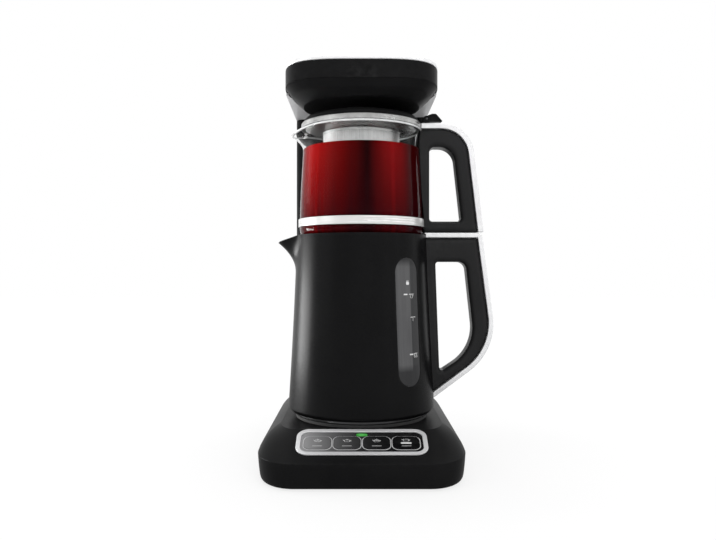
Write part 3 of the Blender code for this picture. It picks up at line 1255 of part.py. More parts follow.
def glass_rows():
    """(radius, height) of the glass wall's rings, from its foot to its rim."""
    neck, rim = TEAPOT_NECK_R, TEAPOT_RIM_R
    heel = TEAPOT_FOOT_R + (TEAPOT_BELLY_R - TEAPOT_FOOT_R) * glass_heel_share
    straight = neck + (TEAPOT_BELLY_R - neck) * glass_straight_share
    lip = neck + (rim - neck) * glass_lip_share
    radii = (TEAPOT_FOOT_R, heel, TEAPOT_BELLY_R, straight, neck, lip, rim)
    return [(radius, TEAPOT_BASE + TEAPOT_HEIGHT * share)
            for radius, share in zip(radii, glass_row_shares)]


def teapot(pot):
    """Glass, steel band, infuser, handle and the bracket of the lid's hinge."""
    rings = [spout_ring(radius, z, TEAPOT_RIM, TEAPOT_SPOUT_HEIGHT, TEAPOT_SPOUT_REACH,
                        TEAPOT_SPOUT_DIP, teapot_spout_half_degrees) for radius, z in glass_rows()]
    glass = thicken(skin("teapot_glass", rings, CLEAR_GLASS, pot, floor=True), TEAPOT_WALL)
    cut(glass, box("rim_cut", (TEAPOT_RIM_R * 3, TEAPOT_RIM_R * 3, TEAPOT_WALL), None, pot,
                   (0.0, 0.0, TEAPOT_RIM + TEAPOT_WALL / 2)))
    band_base = TEAPOT_BASE + BAND_LIFT
    inner = TEAPOT_BELLY_R + FIT
    outer = inner + BAND_THICKNESS
    turned("teapot_band", ring_profile(inner, outer, 0.0, BAND_HEIGHT), STEEL, pot,
           (0.0, 0.0, band_base), sides=ROUND_SIDES, closed=True)
    infuser(pot)
    run = [(radius + FIT, z) for radius, z in reversed(glass_rows()) if z > band_base + BAND_HEIGHT]
    top = LID_TOP + OVERRUN
    profile = [(0.0, top), (TEAPOT_RIM_R + FIT, top)] + run
    profile += [(outer + FIT, band_base + BAND_HEIGHT + FIT), (outer + FIT, TEAPOT_BASE),
                (0.0, TEAPOT_BASE)]
    body = turned("teapot_envelope", profile, None, pot, sides=ROUND_SIDES)
    drop = TEAPOT_GRIP_TOP - TEAPOT_GRIP_BASE
    path = placed(teapot_grip_shares, TEAPOT_RIM_R, TEAPOT_GRIP_REACH, TEAPOT_GRIP_TOP, drop)
    hole = placed(teapot_hole_shares, TEAPOT_RIM_R, TEAPOT_GRIP_REACH, TEAPOT_GRIP_TOP, drop)
    handle("teapot_handle", path, hole, TEAPOT_TRIM, body, pot)
    hinge_bracket(pot)


def infuser(pot):
    """Steel basket that hangs on the glass rim: flange, shoulder and deep cylinder."""
    skirt = INFUSER_FLANGE_R - INFUSER_WALL
    top = INFUSER_TOP - INFUSER_WALL
    shoulder = TEAPOT_RIM - INFUSER_SHOULDER
    floor = TEAPOT_RIM - INFUSER_DEPTH
    profile = [(skirt, TEAPOT_RIM + FIT), (skirt, top), (INFUSER_MOUTH_R, top),
               (INFUSER_MOUTH_R, TEAPOT_RIM), (INFUSER_R + INFUSER_WALL, shoulder),
               (INFUSER_R, shoulder - INFUSER_SHOULDER / 2), (INFUSER_R, floor), (0.0, floor)]
    thicken(turned("infuser_basket", profile, STEEL, pot), INFUSER_WALL)


def hinge_bracket(pot):
    """Foot and two ears on the handle's top, with the pin through them."""
    foot_base = TEAPOT_GRIP_TOP + FIT
    half = LEVER_WIDTH / 2 + FIT
    width = (half + EAR_THICKNESS) * 2
    length = BRACKET_FRONT + BRACKET_REAR
    middle = HINGE_X + (BRACKET_REAR - BRACKET_FRONT) / 2
    bracket = box("hinge_bracket", (length, width, BRACKET_FOOT), SATIN_BLACK, pot,
                  (middle, 0.0, foot_base + BRACKET_FOOT / 2))
    ear_top = HINGE_Z + EAR_RISE
    for side in (-1, 1):
        join(bracket, box(f"ear_{side}", (length, EAR_THICKNESS, ear_top - foot_base), None, pot,
                          (middle, side * (half + EAR_THICKNESS / 2), (ear_top + foot_base) / 2)))
    lie = (math.radians(90), 0.0, 0.0)
    cut(bracket, cylinder("ear_bore", PIN_R + FIT, width + OVERRUN * 2, None, pot,
                          (HINGE_X, 0.0, HINGE_Z), lie))
    cylinder("hinge_pin", PIN_R, width, STEEL, pot, (HINGE_X, 0.0, HINGE_Z), lie)


def lid(cover):
    """Cap with the water inlet, its seal and the thumb lever; the frame is on the pin."""
    base = LID_BASE - HINGE_Z
    top = LID_TOP - HINGE_Z
    dish = top - LID_DISH
    profile = [(LID_DISH_R - LID_DISH * 2, dish), (LID_DISH_R, top), (LID_R - LID_CHAMFER, top),
               (LID_R, top - LID_CHAMFER), (LID_R, base), (LID_INLET_R, base), (LID_INLET_R, dish)]
    turned("lid_cap", profile, SATIN_BLACK, cover, (-HINGE_X, 0.0, 0.0), closed=True)
    seal = ring_profile(SEAL_R - SEAL_WIDTH, SEAL_R, -SEAL_HEIGHT, 0.0)
    turned("lid_seal", seal, GREY_SILICONE, cover, (-HINGE_X, 0.0, base - FIT), closed=True)
    under = TEAPOT_GRIP_TOP + FIT + BRACKET_FOOT + LEVER_CLEARANCE - HINGE_Z
    lap = LID_R - LEVER_LAP - HINGE_X
    edge = LID_R + FIT * 3 - HINGE_X
    on_lid = top + FIT
    corners = [(lap, on_lid, 0.0), (edge, on_lid, 0.0), (edge, under, 0.0),
               (LEVER_TAIL - LEVER_SKIN, under, 0.0), (LEVER_TAIL, under + LEVER_SKIN, 0.0),
               *[(LEVER_TAIL * share, LEVER_CREST, LEVER_SKIN) for share in lever_crest_shares],
               (edge / 2, on_lid + LEVER_SKIN, LEVER_SKIN), (lap, on_lid + LEVER_SKIN, 0.0)]
    lever = upright("lid_lever", [rounded(corners, 3)], LEVER_WIDTH, GLOSS_BLACK, cover)
    cut(lever, cylinder("lever_bore", PIN_R + FIT, LEVER_WIDTH + OVERRUN * 2, None, cover,
                        (0.0, 0.0, 0.0), (math.radians(90), 0.0, 0.0)))


def tea_maker():
    """Build the whole object."""
    reach = max(x for x, z in rounded(kettle_grip_path()))
    centre_x = (reach - BASE_HALF_WIDTH) / 2
    centre_y = (BASE_REAR + FIT + GLAND_FLANGE - BASE_FRONT) / 2
    machine = new_frame("machine", (-centre_x, -centre_y, 0.0))
    panel = new_frame("panel_frame",
                      (0.0, PANEL_CLIMB * math.cos(PANEL_SLOPE) - BASE_FRONT,
                       CREASE_Z + PANEL_CLIMB * math.sin(PANEL_SLOPE)),
                      machine, (PANEL_SLOPE, 0.0, 0.0))
    kettle = new_frame("kettle_frame", (0.0, 0.0, 0.0), machine)
    pot = new_frame("teapot_frame", (0.0, 0.0, 0.0), kettle)
    cover = new_frame("lid_frame", (HINGE_X, 0.0, HINGE_Z), pot)
    base_housing(machine, panel)
    base_cover(machine)
    feet_and_screws(machine)
    control_panel(panel)
    power_board(machine)
    pump_and_hoses(machine)
    cord_gland(machine)
    seat_and_dock(machine)
    column(machine)
    head(machine)
    kettle_shell(kettle)
    kettle_underside(kettle)
    kettle_handle(kettle)
    teapot(pot)
    lid(cover)


tea_maker()
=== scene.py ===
"""Looks for the automatic tea maker: detailed pieces, finishes, lights and camera.

Lengths are in metres. X points right, Y to the back and Z up. The pieces are shaped
about the upright axis of the kettle and the teapot, and each one is moved to its place
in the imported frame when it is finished.
"""

import logging
import math
from collections.abc import Callable, Iterator, Sequence
from contextlib import contextmanager
from dataclasses import dataclass
from enum import Enum
from functools import cache

import bmesh
import bpy
from mathutils import Matrix, Vector


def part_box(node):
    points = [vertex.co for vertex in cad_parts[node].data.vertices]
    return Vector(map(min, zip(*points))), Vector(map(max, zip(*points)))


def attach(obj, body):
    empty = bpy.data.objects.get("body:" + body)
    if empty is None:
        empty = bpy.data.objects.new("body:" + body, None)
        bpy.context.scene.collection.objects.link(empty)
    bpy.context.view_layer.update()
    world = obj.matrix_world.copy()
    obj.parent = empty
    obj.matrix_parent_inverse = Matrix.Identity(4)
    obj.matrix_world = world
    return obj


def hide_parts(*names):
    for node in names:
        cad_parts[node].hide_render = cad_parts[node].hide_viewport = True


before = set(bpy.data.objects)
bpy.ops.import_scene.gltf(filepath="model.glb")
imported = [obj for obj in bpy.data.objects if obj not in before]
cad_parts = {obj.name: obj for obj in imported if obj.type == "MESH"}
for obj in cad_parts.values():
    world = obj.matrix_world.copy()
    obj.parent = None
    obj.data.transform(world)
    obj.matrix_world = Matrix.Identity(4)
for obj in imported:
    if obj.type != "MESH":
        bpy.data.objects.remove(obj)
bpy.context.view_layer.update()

LOG = logging.getLogger("tea_maker")

Point = tuple[float, float, float]
Ring = list[Point]
Loop = list[tuple[float, float]]
Colour = tuple[float, float, float]
Mesh = bpy.types.Mesh
Material = bpy.types.Material
Node = bpy.types.Node
NodeTree = bpy.types.NodeTree
Socket = bpy.types.NodeSocket
MERGE = 0.000002


class Body(Enum):
    """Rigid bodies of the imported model."""

    STATION = "station"
    KETTLE = "kettle"
    TEAPOT = "teapot"
    LID = "lid"


class Slot(Enum):
    """Material slots of the record."""

    SATIN = "satin_black_plastic"
    GLOSS = "gloss_black_plastic"
    PAINT = "black_painted_steel"
    RUBBER = "black_rubber"
    TRIM = "bright_silver_trim"
    SILVER = "silver_plastic"
    STEEL = "steel"
    GLASS = "clear_glass"
    SMOKED = "smoked_plastic"
    LENS = "green_lens"
    BOARD = "circuit_board"
    HOSE = "silicone_hose"
    SEAL = "grey_silicone"


class Brushing(Enum):
    """Which way the fine lines of a finish run, as the stretch of its grain."""

    NONE = (1.0, 1.0, 1.0)
    AROUND = (0.02, 0.02, 1.0)
    UPRIGHT = (1.0, 1.0, 0.012)


@dataclass(frozen=True)
class Heights:
    """Levels that several sub-assemblies share."""

    deck: float = 0.0446
    seat_top: float = 0.048
    kettle_foot: float = 0.0483
    kettle_base: float = 0.0515
    kettle_rim: float = 0.237
    kettle_grip: float = 0.2394
    teapot_base: float = 0.233
    teapot_grip_base: float = 0.2402
    teapot_rim: float = 0.350
    teapot_grip: float = 0.356
    infuser_top: float = 0.3559
    lid_base: float = 0.3562
    lid_top: float = 0.3618
    hinge: float = 0.361
    block_base: float = 0.373
    block_top: float = 0.387
    head_base: float = 0.3873
    head_wall_top: float = 0.4047
    head_top: float = 0.409


@dataclass(frozen=True)
class Plan:
    """Widths and depths from the pots' axis that several sub-assemblies share."""

    fit: float = 0.0003
    column_half_width: float = 0.0795
    column_front: float = 0.102
    column_split: float = 0.126
    column_rear: float = 0.150
    base_front: float = -0.125
    base_rear: float = 0.156
    hinge: float = 0.0695


Z = Heights()
XY = Plan()


def pots_axis() -> Vector:
    """Foot of the upright axis of the kettle and the teapot."""
    low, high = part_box("kettle_seat")
    return Vector(((low[0] + high[0]) / 2, (low[1] + high[1]) / 2, 0.0))


AXIS = pots_axis()


# Meshes


@contextmanager
def opened(mesh: Mesh) -> Iterator[bmesh.types.BMesh]:
    """Open a mesh for editing and write it back."""
    work = bmesh.new()
    work.from_mesh(mesh)
    yield work
    work.to_mesh(mesh)
    work.free()


def linked(name: str, data: bpy.types.ID) -> bpy.types.Object:
    """Put data into the scene as an object."""
    holder = bpy.data.objects.new(name, data)
    bpy.context.scene.collection.objects.link(holder)
    return holder


def worked(data: bpy.types.ID, kind: str = "", inputs: dict[str, object] | None = None,
        **settings: object) -> Mesh:
    """Turn a curve or a mesh into a plain mesh, through a modifier if one is named.

    Args:
        data: The curve or the mesh.
        kind: Type of the modifier.
        inputs: What a node modifier is given, by the sockets' identifiers.
        settings: The modifier's settings.

    Returns:
        The mesh.
    """
    holder = linked("work", data)
    if kind:
        step = holder.modifiers.new("Step", kind)
        for name, value in settings.items():
            setattr(step, name, value)
        for identifier, value in (inputs or {}).items():
            step[identifier] = value
    bpy.context.view_layer.update()
    graph = bpy.context.evaluated_depsgraph_get()
    mesh = bpy.data.meshes.new_from_object(holder.evaluated_get(graph), depsgraph=graph)
    bpy.data.objects.remove(holder, do_unlink=True)
    return mesh


def mesh_from(points: Sequence[Point], faces: Sequence[Sequence[int]]) -> Mesh:
    """Make a closed mesh whose doubles are merged and whose faces point outwards.

    Args:
        points: Corners of the mesh.
        faces: Indices of each face's corners.

    Returns:
        The mesh.
    """
    mesh = bpy.data.meshes.new("shape")
    mesh.from_pydata(points, [], faces)
    with opened(mesh) as work:
        bmesh.ops.remove_doubles(work, verts=work.verts, dist=MERGE)
        bmesh.ops.recalc_face_normals(work, faces=work.faces)
    return mesh


def skin(rings: Sequence[Ring], capped: bool = False, wrap: bool = False) -> Mesh:
    """Loft through rings that all have the same number of points.

    Args:
        rings: The rings in order.
        capped: Whether the first and the last ring get a face.
        wrap: Whether the last ring is joined to the first.

    Returns:
        The mesh.
    """
    count = len(rings[0])
    faces: list[Sequence[int]] = []
    for level in range(len(rings) if wrap else len(rings) - 1):
        low = level * count
        high = (level + 1) % len(rings) * count
        for index in range(count):
            after = (index + 1) % count
            faces.append((low + index, low + after, high + after, high + index))
    if capped:
        faces.append(tuple(reversed(range(count))))
        faces.append(tuple(range((len(rings) - 1) * count, len(rings) * count)))
    return mesh_from([point for ring in rings for point in ring], faces)


def circle(radius: float, sides: int, x: float = 0.0, y: float = 0.0) -> Loop:
    """Outline of a circle about a middle."""
    return [(x + radius * math.cos(math.tau * k / sides),
        y + radius * math.sin(math.tau * k / sides)) for k in range(sides)]


def rounded(corners: Sequence[Point], steps: int = 8) -> Loop:
    """Give each corner of a closed outline its arc.

    Args:
        corners: X, Y and radius of each corner.
        steps: Facets of each arc.

    Returns:
        The outline's points.
    """
    points: Loop = []
    for index, (x, y, radius) in enumerate(corners):
        if radius <= 0:
            points.append((x, y))
            continue
        here = Vector((x, y))
        before = (Vector(corners[index - 1][:2]) - here).normalized()
        after = (Vector(corners[(index + 1) % len(corners)][:2]) - here).normalized()
        half = before.angle(after) / 2
        centre = here + (before + after).normalized() * radius / math.sin(half)
        start = here + before * radius / math.tan(half) - centre
        end = here + after * radius / math.tan(half) - centre
        sweep = math.atan2(start.x * end.y - start.y * end.x, start.dot(end))
        first = math.atan2(start.y, start.x)
        for step in range(steps + 1):
            angle = first + sweep * step / steps
            points.append((centre.x + radius * math.cos(angle),
                centre.y + radius * math.sin(angle)))
    return points


def rounded_box(width: float, height: float, radius: float, middle: tuple[float, float] = (0.0,
        0.0), steps: int = 8) -> Loop:
    """Outline of a rectangle with round corners.

    Args:
        width: Size along X.
        height: Size along Y.
        radius: Radius of the corners.
        middle: Where its middle is.
        steps: Facets of each corner.

    Returns:
        The outline's points, anticlockwise.
    """
    x, y = middle
    right, top = width / 2, height / 2
    return rounded([(x + right, y - top, radius), (x + right, y + top, radius),
        (x - right, y + top, radius), (x - right, y - top, radius)], steps)


def revolved(outline: Sequence[Point], sides: int = 128, steps: int = 5) -> Mesh:
    """Turn a closed half section about Z.

    Args:
        outline: Radius, height and corner radius of each corner of the section.
        sides: Facets around.
        steps: Facets of each rounded corner.

    Returns:
        The mesh.
    """
    return skin([[(x, y, z) for x, y in circle(r, sides)] for r, z in rounded(outline, steps)],
        wrap=True)


def pole(radius: float, low: float, high: float, sides: int = 32, edge: float = 0.0,
        steps: int = 5) -> Mesh:
    """Solid round bar along Z.

    Args:
        radius: Its radius.
        low: Height of its lower end.
        high: Height of its upper end.
        sides: Facets around.
        edge: Radius of the edges of its ends.
        steps: Facets of these edges.

    Returns:
        The mesh.
    """
    return revolved([(0.0, low, 0.0), (radius, low, edge), (radius, high, edge), (0.0, high, 0.0)],
        sides, steps)


def drawn(loops: Sequence[Loop], closed: bool, **settings: object) -> Mesh:
    """Make a mesh of a curve.

    Args:
        loops: Points of its lines.
        closed: Whether their ends meet.
        settings: The curve's settings.

    Returns:
        The mesh.
    """
    curve = bpy.data.curves.new("line", "CURVE")
    for name, value in settings.items():
        setattr(curve, name, value)
    for loop in loops:
        spline = curve.splines.new("POLY")
        spline.points.add(len(loop) - 1)
        for point, (x, y) in zip(spline.points, loop):
            point.co = (x, y, 0.0, 1.0)
        spline.use_cyclic_u = closed
    return worked(curve)


def prism(loops: Sequence[Loop], low: float, high: float) -> Mesh:
    """Raise a flat outline with any holes between two heights.

    Args:
        loops: The outline, then its holes.
        low: Height of its underside.
        high: Height of its top.

    Returns:
        The mesh.
    """
    mesh = drawn(loops, True, dimensions="2D", fill_mode="BOTH", extrude=(high - low) / 2)
    with opened(mesh) as work:
        bmesh.ops.remove_doubles(work, verts=work.verts, dist=MERGE)
        bmesh.ops.dissolve_limit(work, angle_limit=math.radians(0.3), verts=work.verts,
            edges=work.edges)
        bmesh.ops.recalc_face_normals(work, faces=work.faces)
        bmesh.ops.translate(work, vec=(0.0, 0.0, (high + low) / 2), verts=work.verts)
    return mesh


def eased(mesh: Mesh, width: float, segments: int = 3, degrees: float = 40.0) -> Mesh:
    """Round the edges of a mesh that turn by more than some degrees."""
    return worked(mesh, "BEVEL", width=width, segments=segments, limit_method="ANGLE",
        angle_limit=math.radians(degrees))


def hollowed(mesh: Mesh, wall: float) -> Mesh:
    """Give an open surface its wall on the inner side."""
    return worked(mesh, "SOLIDIFY", thickness=wall, offset=-1.0, use_even_offset=True)


def cut(mesh: Mesh, *tools: Mesh) -> Mesh:
    """Cut tools out of a mesh.

    Args:
        mesh: The mesh.
        tools: What is cut out of it.

    Returns:
        What is left.
    """
    for tool in tools:
        cutter = linked("cutter", tool)
        mesh = worked(mesh, "BOOLEAN", operation="DIFFERENCE", solver="EXACT", object=cutter)
        bpy.data.objects.remove(cutter, do_unlink=True)
    return mesh


def moved(mesh: Mesh, *steps: Matrix) -> Mesh:
    """Move a mesh by matrices, the first one last."""
    for step in reversed(steps):
        mesh.transform(step)
    return mesh


def shift(x: float = 0.0, y: float = 0.0, z: float = 0.0) -> Matrix:
    """A plain move."""
    return Matrix.Translation((x, y, z))


def turn(degrees: float, about: str) -> Matrix:
    """A turn about a named axis."""
    return Matrix.Rotation(math.radians(degrees), 4, about)


def together(*meshes: Mesh) -> Mesh:
    """Put several meshes into one."""
    result = bpy.data.meshes.new("shape")
    with opened(result) as work:
        for mesh in meshes:
            work.from_mesh(mesh)
    return result


def reshaped(mesh: Mesh, place: Callable[[float, float, float], Point]) -> Mesh:
    """Send each point of a mesh to where a rule puts it."""
    for vertex in mesh.vertices:
        vertex.co = place(*vertex.co)
    return mesh


# Node trees


class Field:
    """A value in a node tree that takes part in sums like a number."""

    def __init__(self, make: "Nodes", socket: Socket) -> None:
        """Hold a socket of a tree."""
        self.make, self.socket = make, socket

    def __add__(self, other: object) -> "Field":
        """Sum."""
        return self.make.math("ADD", self, other)

    __radd__ = __add__

    def __sub__(self, other: object) -> "Field":
        """Difference."""
        return self.make.math("SUBTRACT", self, other)

    def __rsub__(self, other: object) -> "Field":
        """Difference from a number."""
        return self.make.math("SUBTRACT", other, self)

    def __mul__(self, other: object) -> "Field":
        """Product."""
        return self.make.math("MULTIPLY", self, other)

    __rmul__ = __mul__

    def __truediv__(self, other: object) -> "Field":
        """Quotient."""
        return self.make.math("DIVIDE", self, other)

    def __pow__(self, other: object) -> "Field":
        """Power."""
        return self.make.math("POWER", self, other)

    def __abs__(self) -> "Field":
        """Size without its sign."""
        return self.make.math("ABSOLUTE", self)

    def at_least(self, other: object) -> "Field":
        """The larger of two values."""
        return self.make.math("MAXIMUM", self, other)

    def at_most(self, other: object) -> "Field":
        """The smaller of two values."""
        return self.make.math("MINIMUM", self, other)

    def cosine(self) -> "Field":
        """Cosine."""
        return self.make.math("COSINE", self)

    def sine(self) -> "Field":
        """Sine."""
        return self.make.math("SINE", self)


class Nodes:
    """Adds and links nodes in one tree. Node types are named without ShaderNode."""

    def __init__(self, tree: bpy.types.NodeTree) -> None:
        """Hold the tree."""
        self.tree = tree

    def feed(self, socket: Socket, value: object) -> None:
        """Link or set a socket."""
        if isinstance(value, Field):
            value = value.socket
        if isinstance(value, Socket):
            self.tree.links.new(value, socket)
        else:
            socket.default_value = value

    def fill(self, node: Node, **inputs: object) -> Node:
        """Feed a node's inputs, by name with _ for a space."""
        for name, value in inputs.items():
            self.feed(node.inputs[name.replace("_", " ")], value)
        return node

    def node(self, kind: str, settings: dict[str, object] | None = None, **inputs: object) -> Node:
        """Add a node and feed its inputs.

        Args:
            kind: Type of the node.
            settings: Its own settings.
            inputs: Values or sockets, by input name with _ for a space.

        Returns:
            The node.
        """
        node = self.tree.nodes.new(kind if kind.startswith("Geometry") else f"ShaderNode{kind}")
        for name, value in (settings or {}).items():
            setattr(node, name, value)
        return self.fill(node, **inputs)

    def value(self, kind: str, output: str | int = 0, settings: dict[str, object] | None = None,
            **inputs: object) -> Field:
        """Add a node and take one of its outputs.

        Args:
            kind: Type of the node.
            output: Name or number of the output.
            settings: The node's own settings.
            inputs: Values or sockets, by input name with _ for a space.

        Returns:
            The output.
        """
        return Field(self, self.node(kind, settings, **inputs).outputs[output])

    def math(self, kind: str, *values: object) -> Field:
        """Work out one value.

        Args:
            kind: Operation of the Math node.
            values: Its inputs.

        Returns:
            The result.
        """
        node = self.node("Math", {"operation": kind})
        for socket, value in zip(node.inputs, values):
            self.feed(socket, value)
        return Field(self, node.outputs[0])

    def mixed(self, share: object, first: object, second: object) -> Field:
        """Mix two colours.

        Args:
            share: How much of the second colour.
            first: First colour.
            second: Second colour.

        Returns:
            The mixed colour.
        """
        node = self.node("Mix", {"data_type": "RGBA"})
        for number, value in ((0, share), (6, first), (7, second)):
            self.feed(node.inputs[number], value)
        return Field(self, node.outputs[2])

    def ramp(self, share: object, stops: Sequence[tuple[float, Colour]]) -> Field:
        """Colour that changes with a share.

        Args:
            share: The share.
            stops: Position and colour of each stop.

        Returns:
            The colour.
        """
        node = self.node("ValToRGB", Fac=share)
        elements = node.color_ramp.elements
        for position, _ in stops[1:-1]:
            elements.new(position)
        for element, (position, colour) in zip(elements, stops):
            element.position, element.color = position, (*colour, 1.0)
        return Field(self, node.outputs[0])

    def split(self, vector: object) -> tuple[Field, Field, Field]:
        """Split a vector into its three values."""
        return tuple(Field(self, part) for part in self.node("SeparateXYZ", Vector=vector).outputs)


class ShapeTree(Nodes):
    """A Geometry Nodes tree with named inputs that makes one mesh."""

    def __init__(self, name: str) -> None:
        """Start an empty tree."""
        super().__init__(bpy.data.node_groups.new(name, "GeometryNodeTree"))
        for way in ("INPUT", "OUTPUT"):
            self.tree.interface.new_socket("Geometry", in_out=way,
                socket_type="NodeSocketGeometry")
        self.entry = self.tree.nodes.new("NodeGroupInput")
        self.values: dict[str, object] = {}

    def given(self, name: str, value: object, kind: str = "Float") -> Field:
        """Add a named input.

        Args:
            name: Its name.
            value: What it is set to.
            kind: Its kind.

        Returns:
            The value inside the tree.
        """
        item = self.tree.interface.new_socket(name, in_out="INPUT",
            socket_type=f"NodeSocket{kind}")
        self.values[item.identifier] = value
        return Field(self, self.entry.outputs[name])

    def point(self, x: object, y: object, z: object) -> Field:
        """Point from its three values."""
        return self.value("CombineXYZ", X=x, Y=y, Z=z)

    def made(self, geometry: Field, look: "Look", host: Mesh | None = None) -> Mesh:
        """Close the tree and turn what it makes into a plain mesh.

        Args:
            geometry: What the tree makes.
            look: Finish that it sets.
            host: Mesh that goes into the tree, if it needs one.

        Returns:
            The mesh.
        """
        real = self.value("GeometryNodeRealizeInstances", Geometry=geometry)
        dressed = self.value("GeometryNodeSetMaterial", Geometry=real, Material=look.material())
        self.feed(self.tree.nodes.new("NodeGroupOutput").inputs[0], dressed)
        return worked(host or bpy.data.meshes.new("host"), "NODES", self.values,
            node_group=self.tree)


def repeated(name: str, shape: Mesh, places: Sequence[Point], look: "Look") -> Mesh:
    """Set the same small shape on several places.

    Args:
        name: Name of the tree.
        shape: The shape, about its own origin.
        places: Where it goes.
        look: Its finish.

    Returns:
        One mesh with all of them.
    """
    pattern = linked("pattern", shape)
    host = bpy.data.meshes.new("places")
    host.from_pydata(list(places), [], [])
    tree = ShapeTree(name)
    scale = tree.given("Scale of each", 1.0)
    pick = tree.value("GeometryNodeObjectInfo", "Geometry", Object=tree.given("Shape", pattern,
        "Object"))
    points = tree.value("GeometryNodeMeshToPoints", Mesh=tree.entry.outputs["Geometry"])
    laid = tree.value("GeometryNodeInstanceOnPoints", Points=points, Instance=pick,
        Scale=tree.value("CombineXYZ", X=scale, Y=scale, Z=scale))
    mesh = tree.made(laid, look, host)
    bpy.data.objects.remove(pattern, do_unlink=True)
    return mesh


# Finishes


def shader_group(name: str, inputs: dict[str, object], outputs: Sequence[str]) -> tuple[Nodes,
        dict[str, Field], Node]:
    """Start a shader node group.

    Args:
        name: Name of the group.
        inputs: Defaults of its inputs: four numbers for a colour and three for a vector.
        outputs: Its outputs, of which Colour is a colour and any other a value.

    Returns:
        Its nodes, its inputs by name and its output node.
    """
    group = bpy.data.node_groups.new(name, "ShaderNodeTree")
    for label, default in inputs.items():
        kind = {4: "Color", 3: "Vector"}[len(default)] if isinstance(default, tuple) else "Float"
        item = group.interface.new_socket(label, in_out="INPUT", socket_type=f"NodeSocket{kind}")
        item.default_value = default
    for label in outputs:
        kind = "Color" if label == "Colour" else "Float"
        group.interface.new_socket(label, in_out="OUTPUT", socket_type=f"NodeSocket{kind}")
    make, entry = Nodes(group), group.nodes.new("NodeGroupInput")
    given = {label: Field(make, entry.outputs[label]) for label in inputs}
    return make, given, group.nodes.new("NodeGroupOutput")


def grain_group() -> bpy.types.NodeTree:
    """Fine grain with a slow drift of colour and roughness.

    Returns:
        The node group.
    """
    make, given, result = shader_group("moulded_grain", {"Colour": (0.5, 0.5, 0.5, 1.0),
        "Second colour": (0.5, 0.5, 0.5, 1.0), "Stretch": (1.0, 1.0, 1.0), "Grain scale": 900.0,
        "Drift scale": 18.0, "Roughness": 0.4, "Roughness drift": 0.05}, ("Colour", "Roughness",
        "Height"))
    place = make.value("TexCoord", "Object")
    grain = make.value("TexNoise", Vector=make.value("Mapping", Vector=place,
        Scale=given["Stretch"]), Scale=given["Grain scale"], Detail=3.0, Roughness=0.6)
    drift = make.value("TexNoise", Vector=place, Scale=given["Drift scale"], Detail=4.0)
    share = make.value("MapRange", Value=grain * 0.5 + drift * 0.5, From_Min=0.36, From_Max=0.64)
    make.fill(result, Colour=make.mixed(share, given["Colour"], given["Second colour"]),
        Roughness=given["Roughness"] + (share - 0.5) * given["Roughness drift"], Height=grain)
    return make.tree


def wear_group() -> bpy.types.NodeTree:
    """Edges rubbed lighter by use.

    Returns:
        The node group.
    """
    make, given, result = shader_group("edge_wear", {"Colour": (0.5, 0.5, 0.5, 1.0),
        "Worn colour": (0.5, 0.5, 0.5, 1.0), "Amount": 0.3}, ("Colour",))
    edge = make.value("MapRange", Value=make.value("NewGeometry", "Pointiness"), From_Min=0.51,
        From_Max=0.60)
    patch = make.value("TexNoise", Vector=make.value("TexCoord", "Object"), Scale=160.0,
        Detail=3.0)
    patch = make.value("MapRange", Value=patch, From_Min=0.35, From_Max=0.6)
    make.fill(result, Colour=make.mixed(edge * patch * given["Amount"], given["Colour"],
        given["Worn colour"]))
    return make.tree


def around_group() -> bpy.types.NodeTree:
    """Share of a turn about the pots' axis, with 0.5 at the front and 0.25 at the left.

    Returns:
        The node group.
    """
    make, _, result = shader_group("turn_about_the_pots", {}, ("Turn",))
    x, y, _ = make.split(make.value("Mapping", Vector=make.value("TexCoord", "Object"),
        Location=tuple(-AXIS)))
    make.fill(result, Turn=make.math("ARCTAN2", x, y * -1.0) / math.tau + 0.5)
    return make.tree


GRAIN = grain_group()
WEAR = wear_group()
AROUND = around_group()


@dataclass(frozen=True)
class Finish:
    """A moulded, painted or metal finish with grain, drift and worn edges."""

    name: str
    slot: Slot | None
    colour: Colour
    second: Colour
    roughness: float
    roughness_drift: float = 0.06
    metallic: float = 0.0
    grain_scale: float = 900.0
    grain_depth: float = 0.03
    drift_scale: float = 18.0
    brushing: Brushing = Brushing.NONE
    worn: Colour = (0.10, 0.10, 0.10)
    wear: float = 0.25
    coat: float = 0.0
    specular: float = 0.5
    glow: float = 0.0

    def start(self) -> tuple[Material, Nodes, Node, Node]:
        """Make a material with its grain.

        Returns:
            The material, its nodes, its Principled shader and its grain.
        """
        look = bpy.data.materials.new(self.name)
        look.use_nodes = True
        make = Nodes(look.node_tree)
        grain = make.node("Group", {"node_tree": GRAIN}, Colour=(*self.colour, 1.0),
            Second_colour=(*self.second, 1.0), Stretch=self.brushing.value,
            Grain_scale=self.grain_scale, Drift_scale=self.drift_scale, Roughness=self.roughness,
            Roughness_drift=self.roughness_drift)
        return look, make, look.node_tree.nodes["Principled BSDF"], grain

    def coloured(self, make: Nodes, clean: Field) -> Field:
        """Colour over the whole piece, from that of its grain and wear."""
        return clean

    def material(self) -> Material:
        """Build the material.

        Returns:
            The material.
        """
        look, make, shader, grain = self.start()
        clean = make.value("Group", "Colour", {"node_tree": WEAR}, Colour=grain.outputs["Colour"],
            Worn_colour=(*self.worn, 1.0), Amount=self.wear)
        colour = self.coloured(make, clean)
        bump = make.value("Bump", Height=grain.outputs["Height"], Strength=self.grain_depth,
            Distance=0.0003)
        make.fill(shader, Base_Color=colour, Roughness=grain.outputs["Roughness"], Normal=bump,
            Metallic=self.metallic, Coat_Weight=self.coat, Coat_Roughness=0.08,
            Specular_IOR_Level=self.specular)
        if self.glow:
            make.fill(shader, Emission_Color=colour, Emission_Strength=self.glow)
        return look


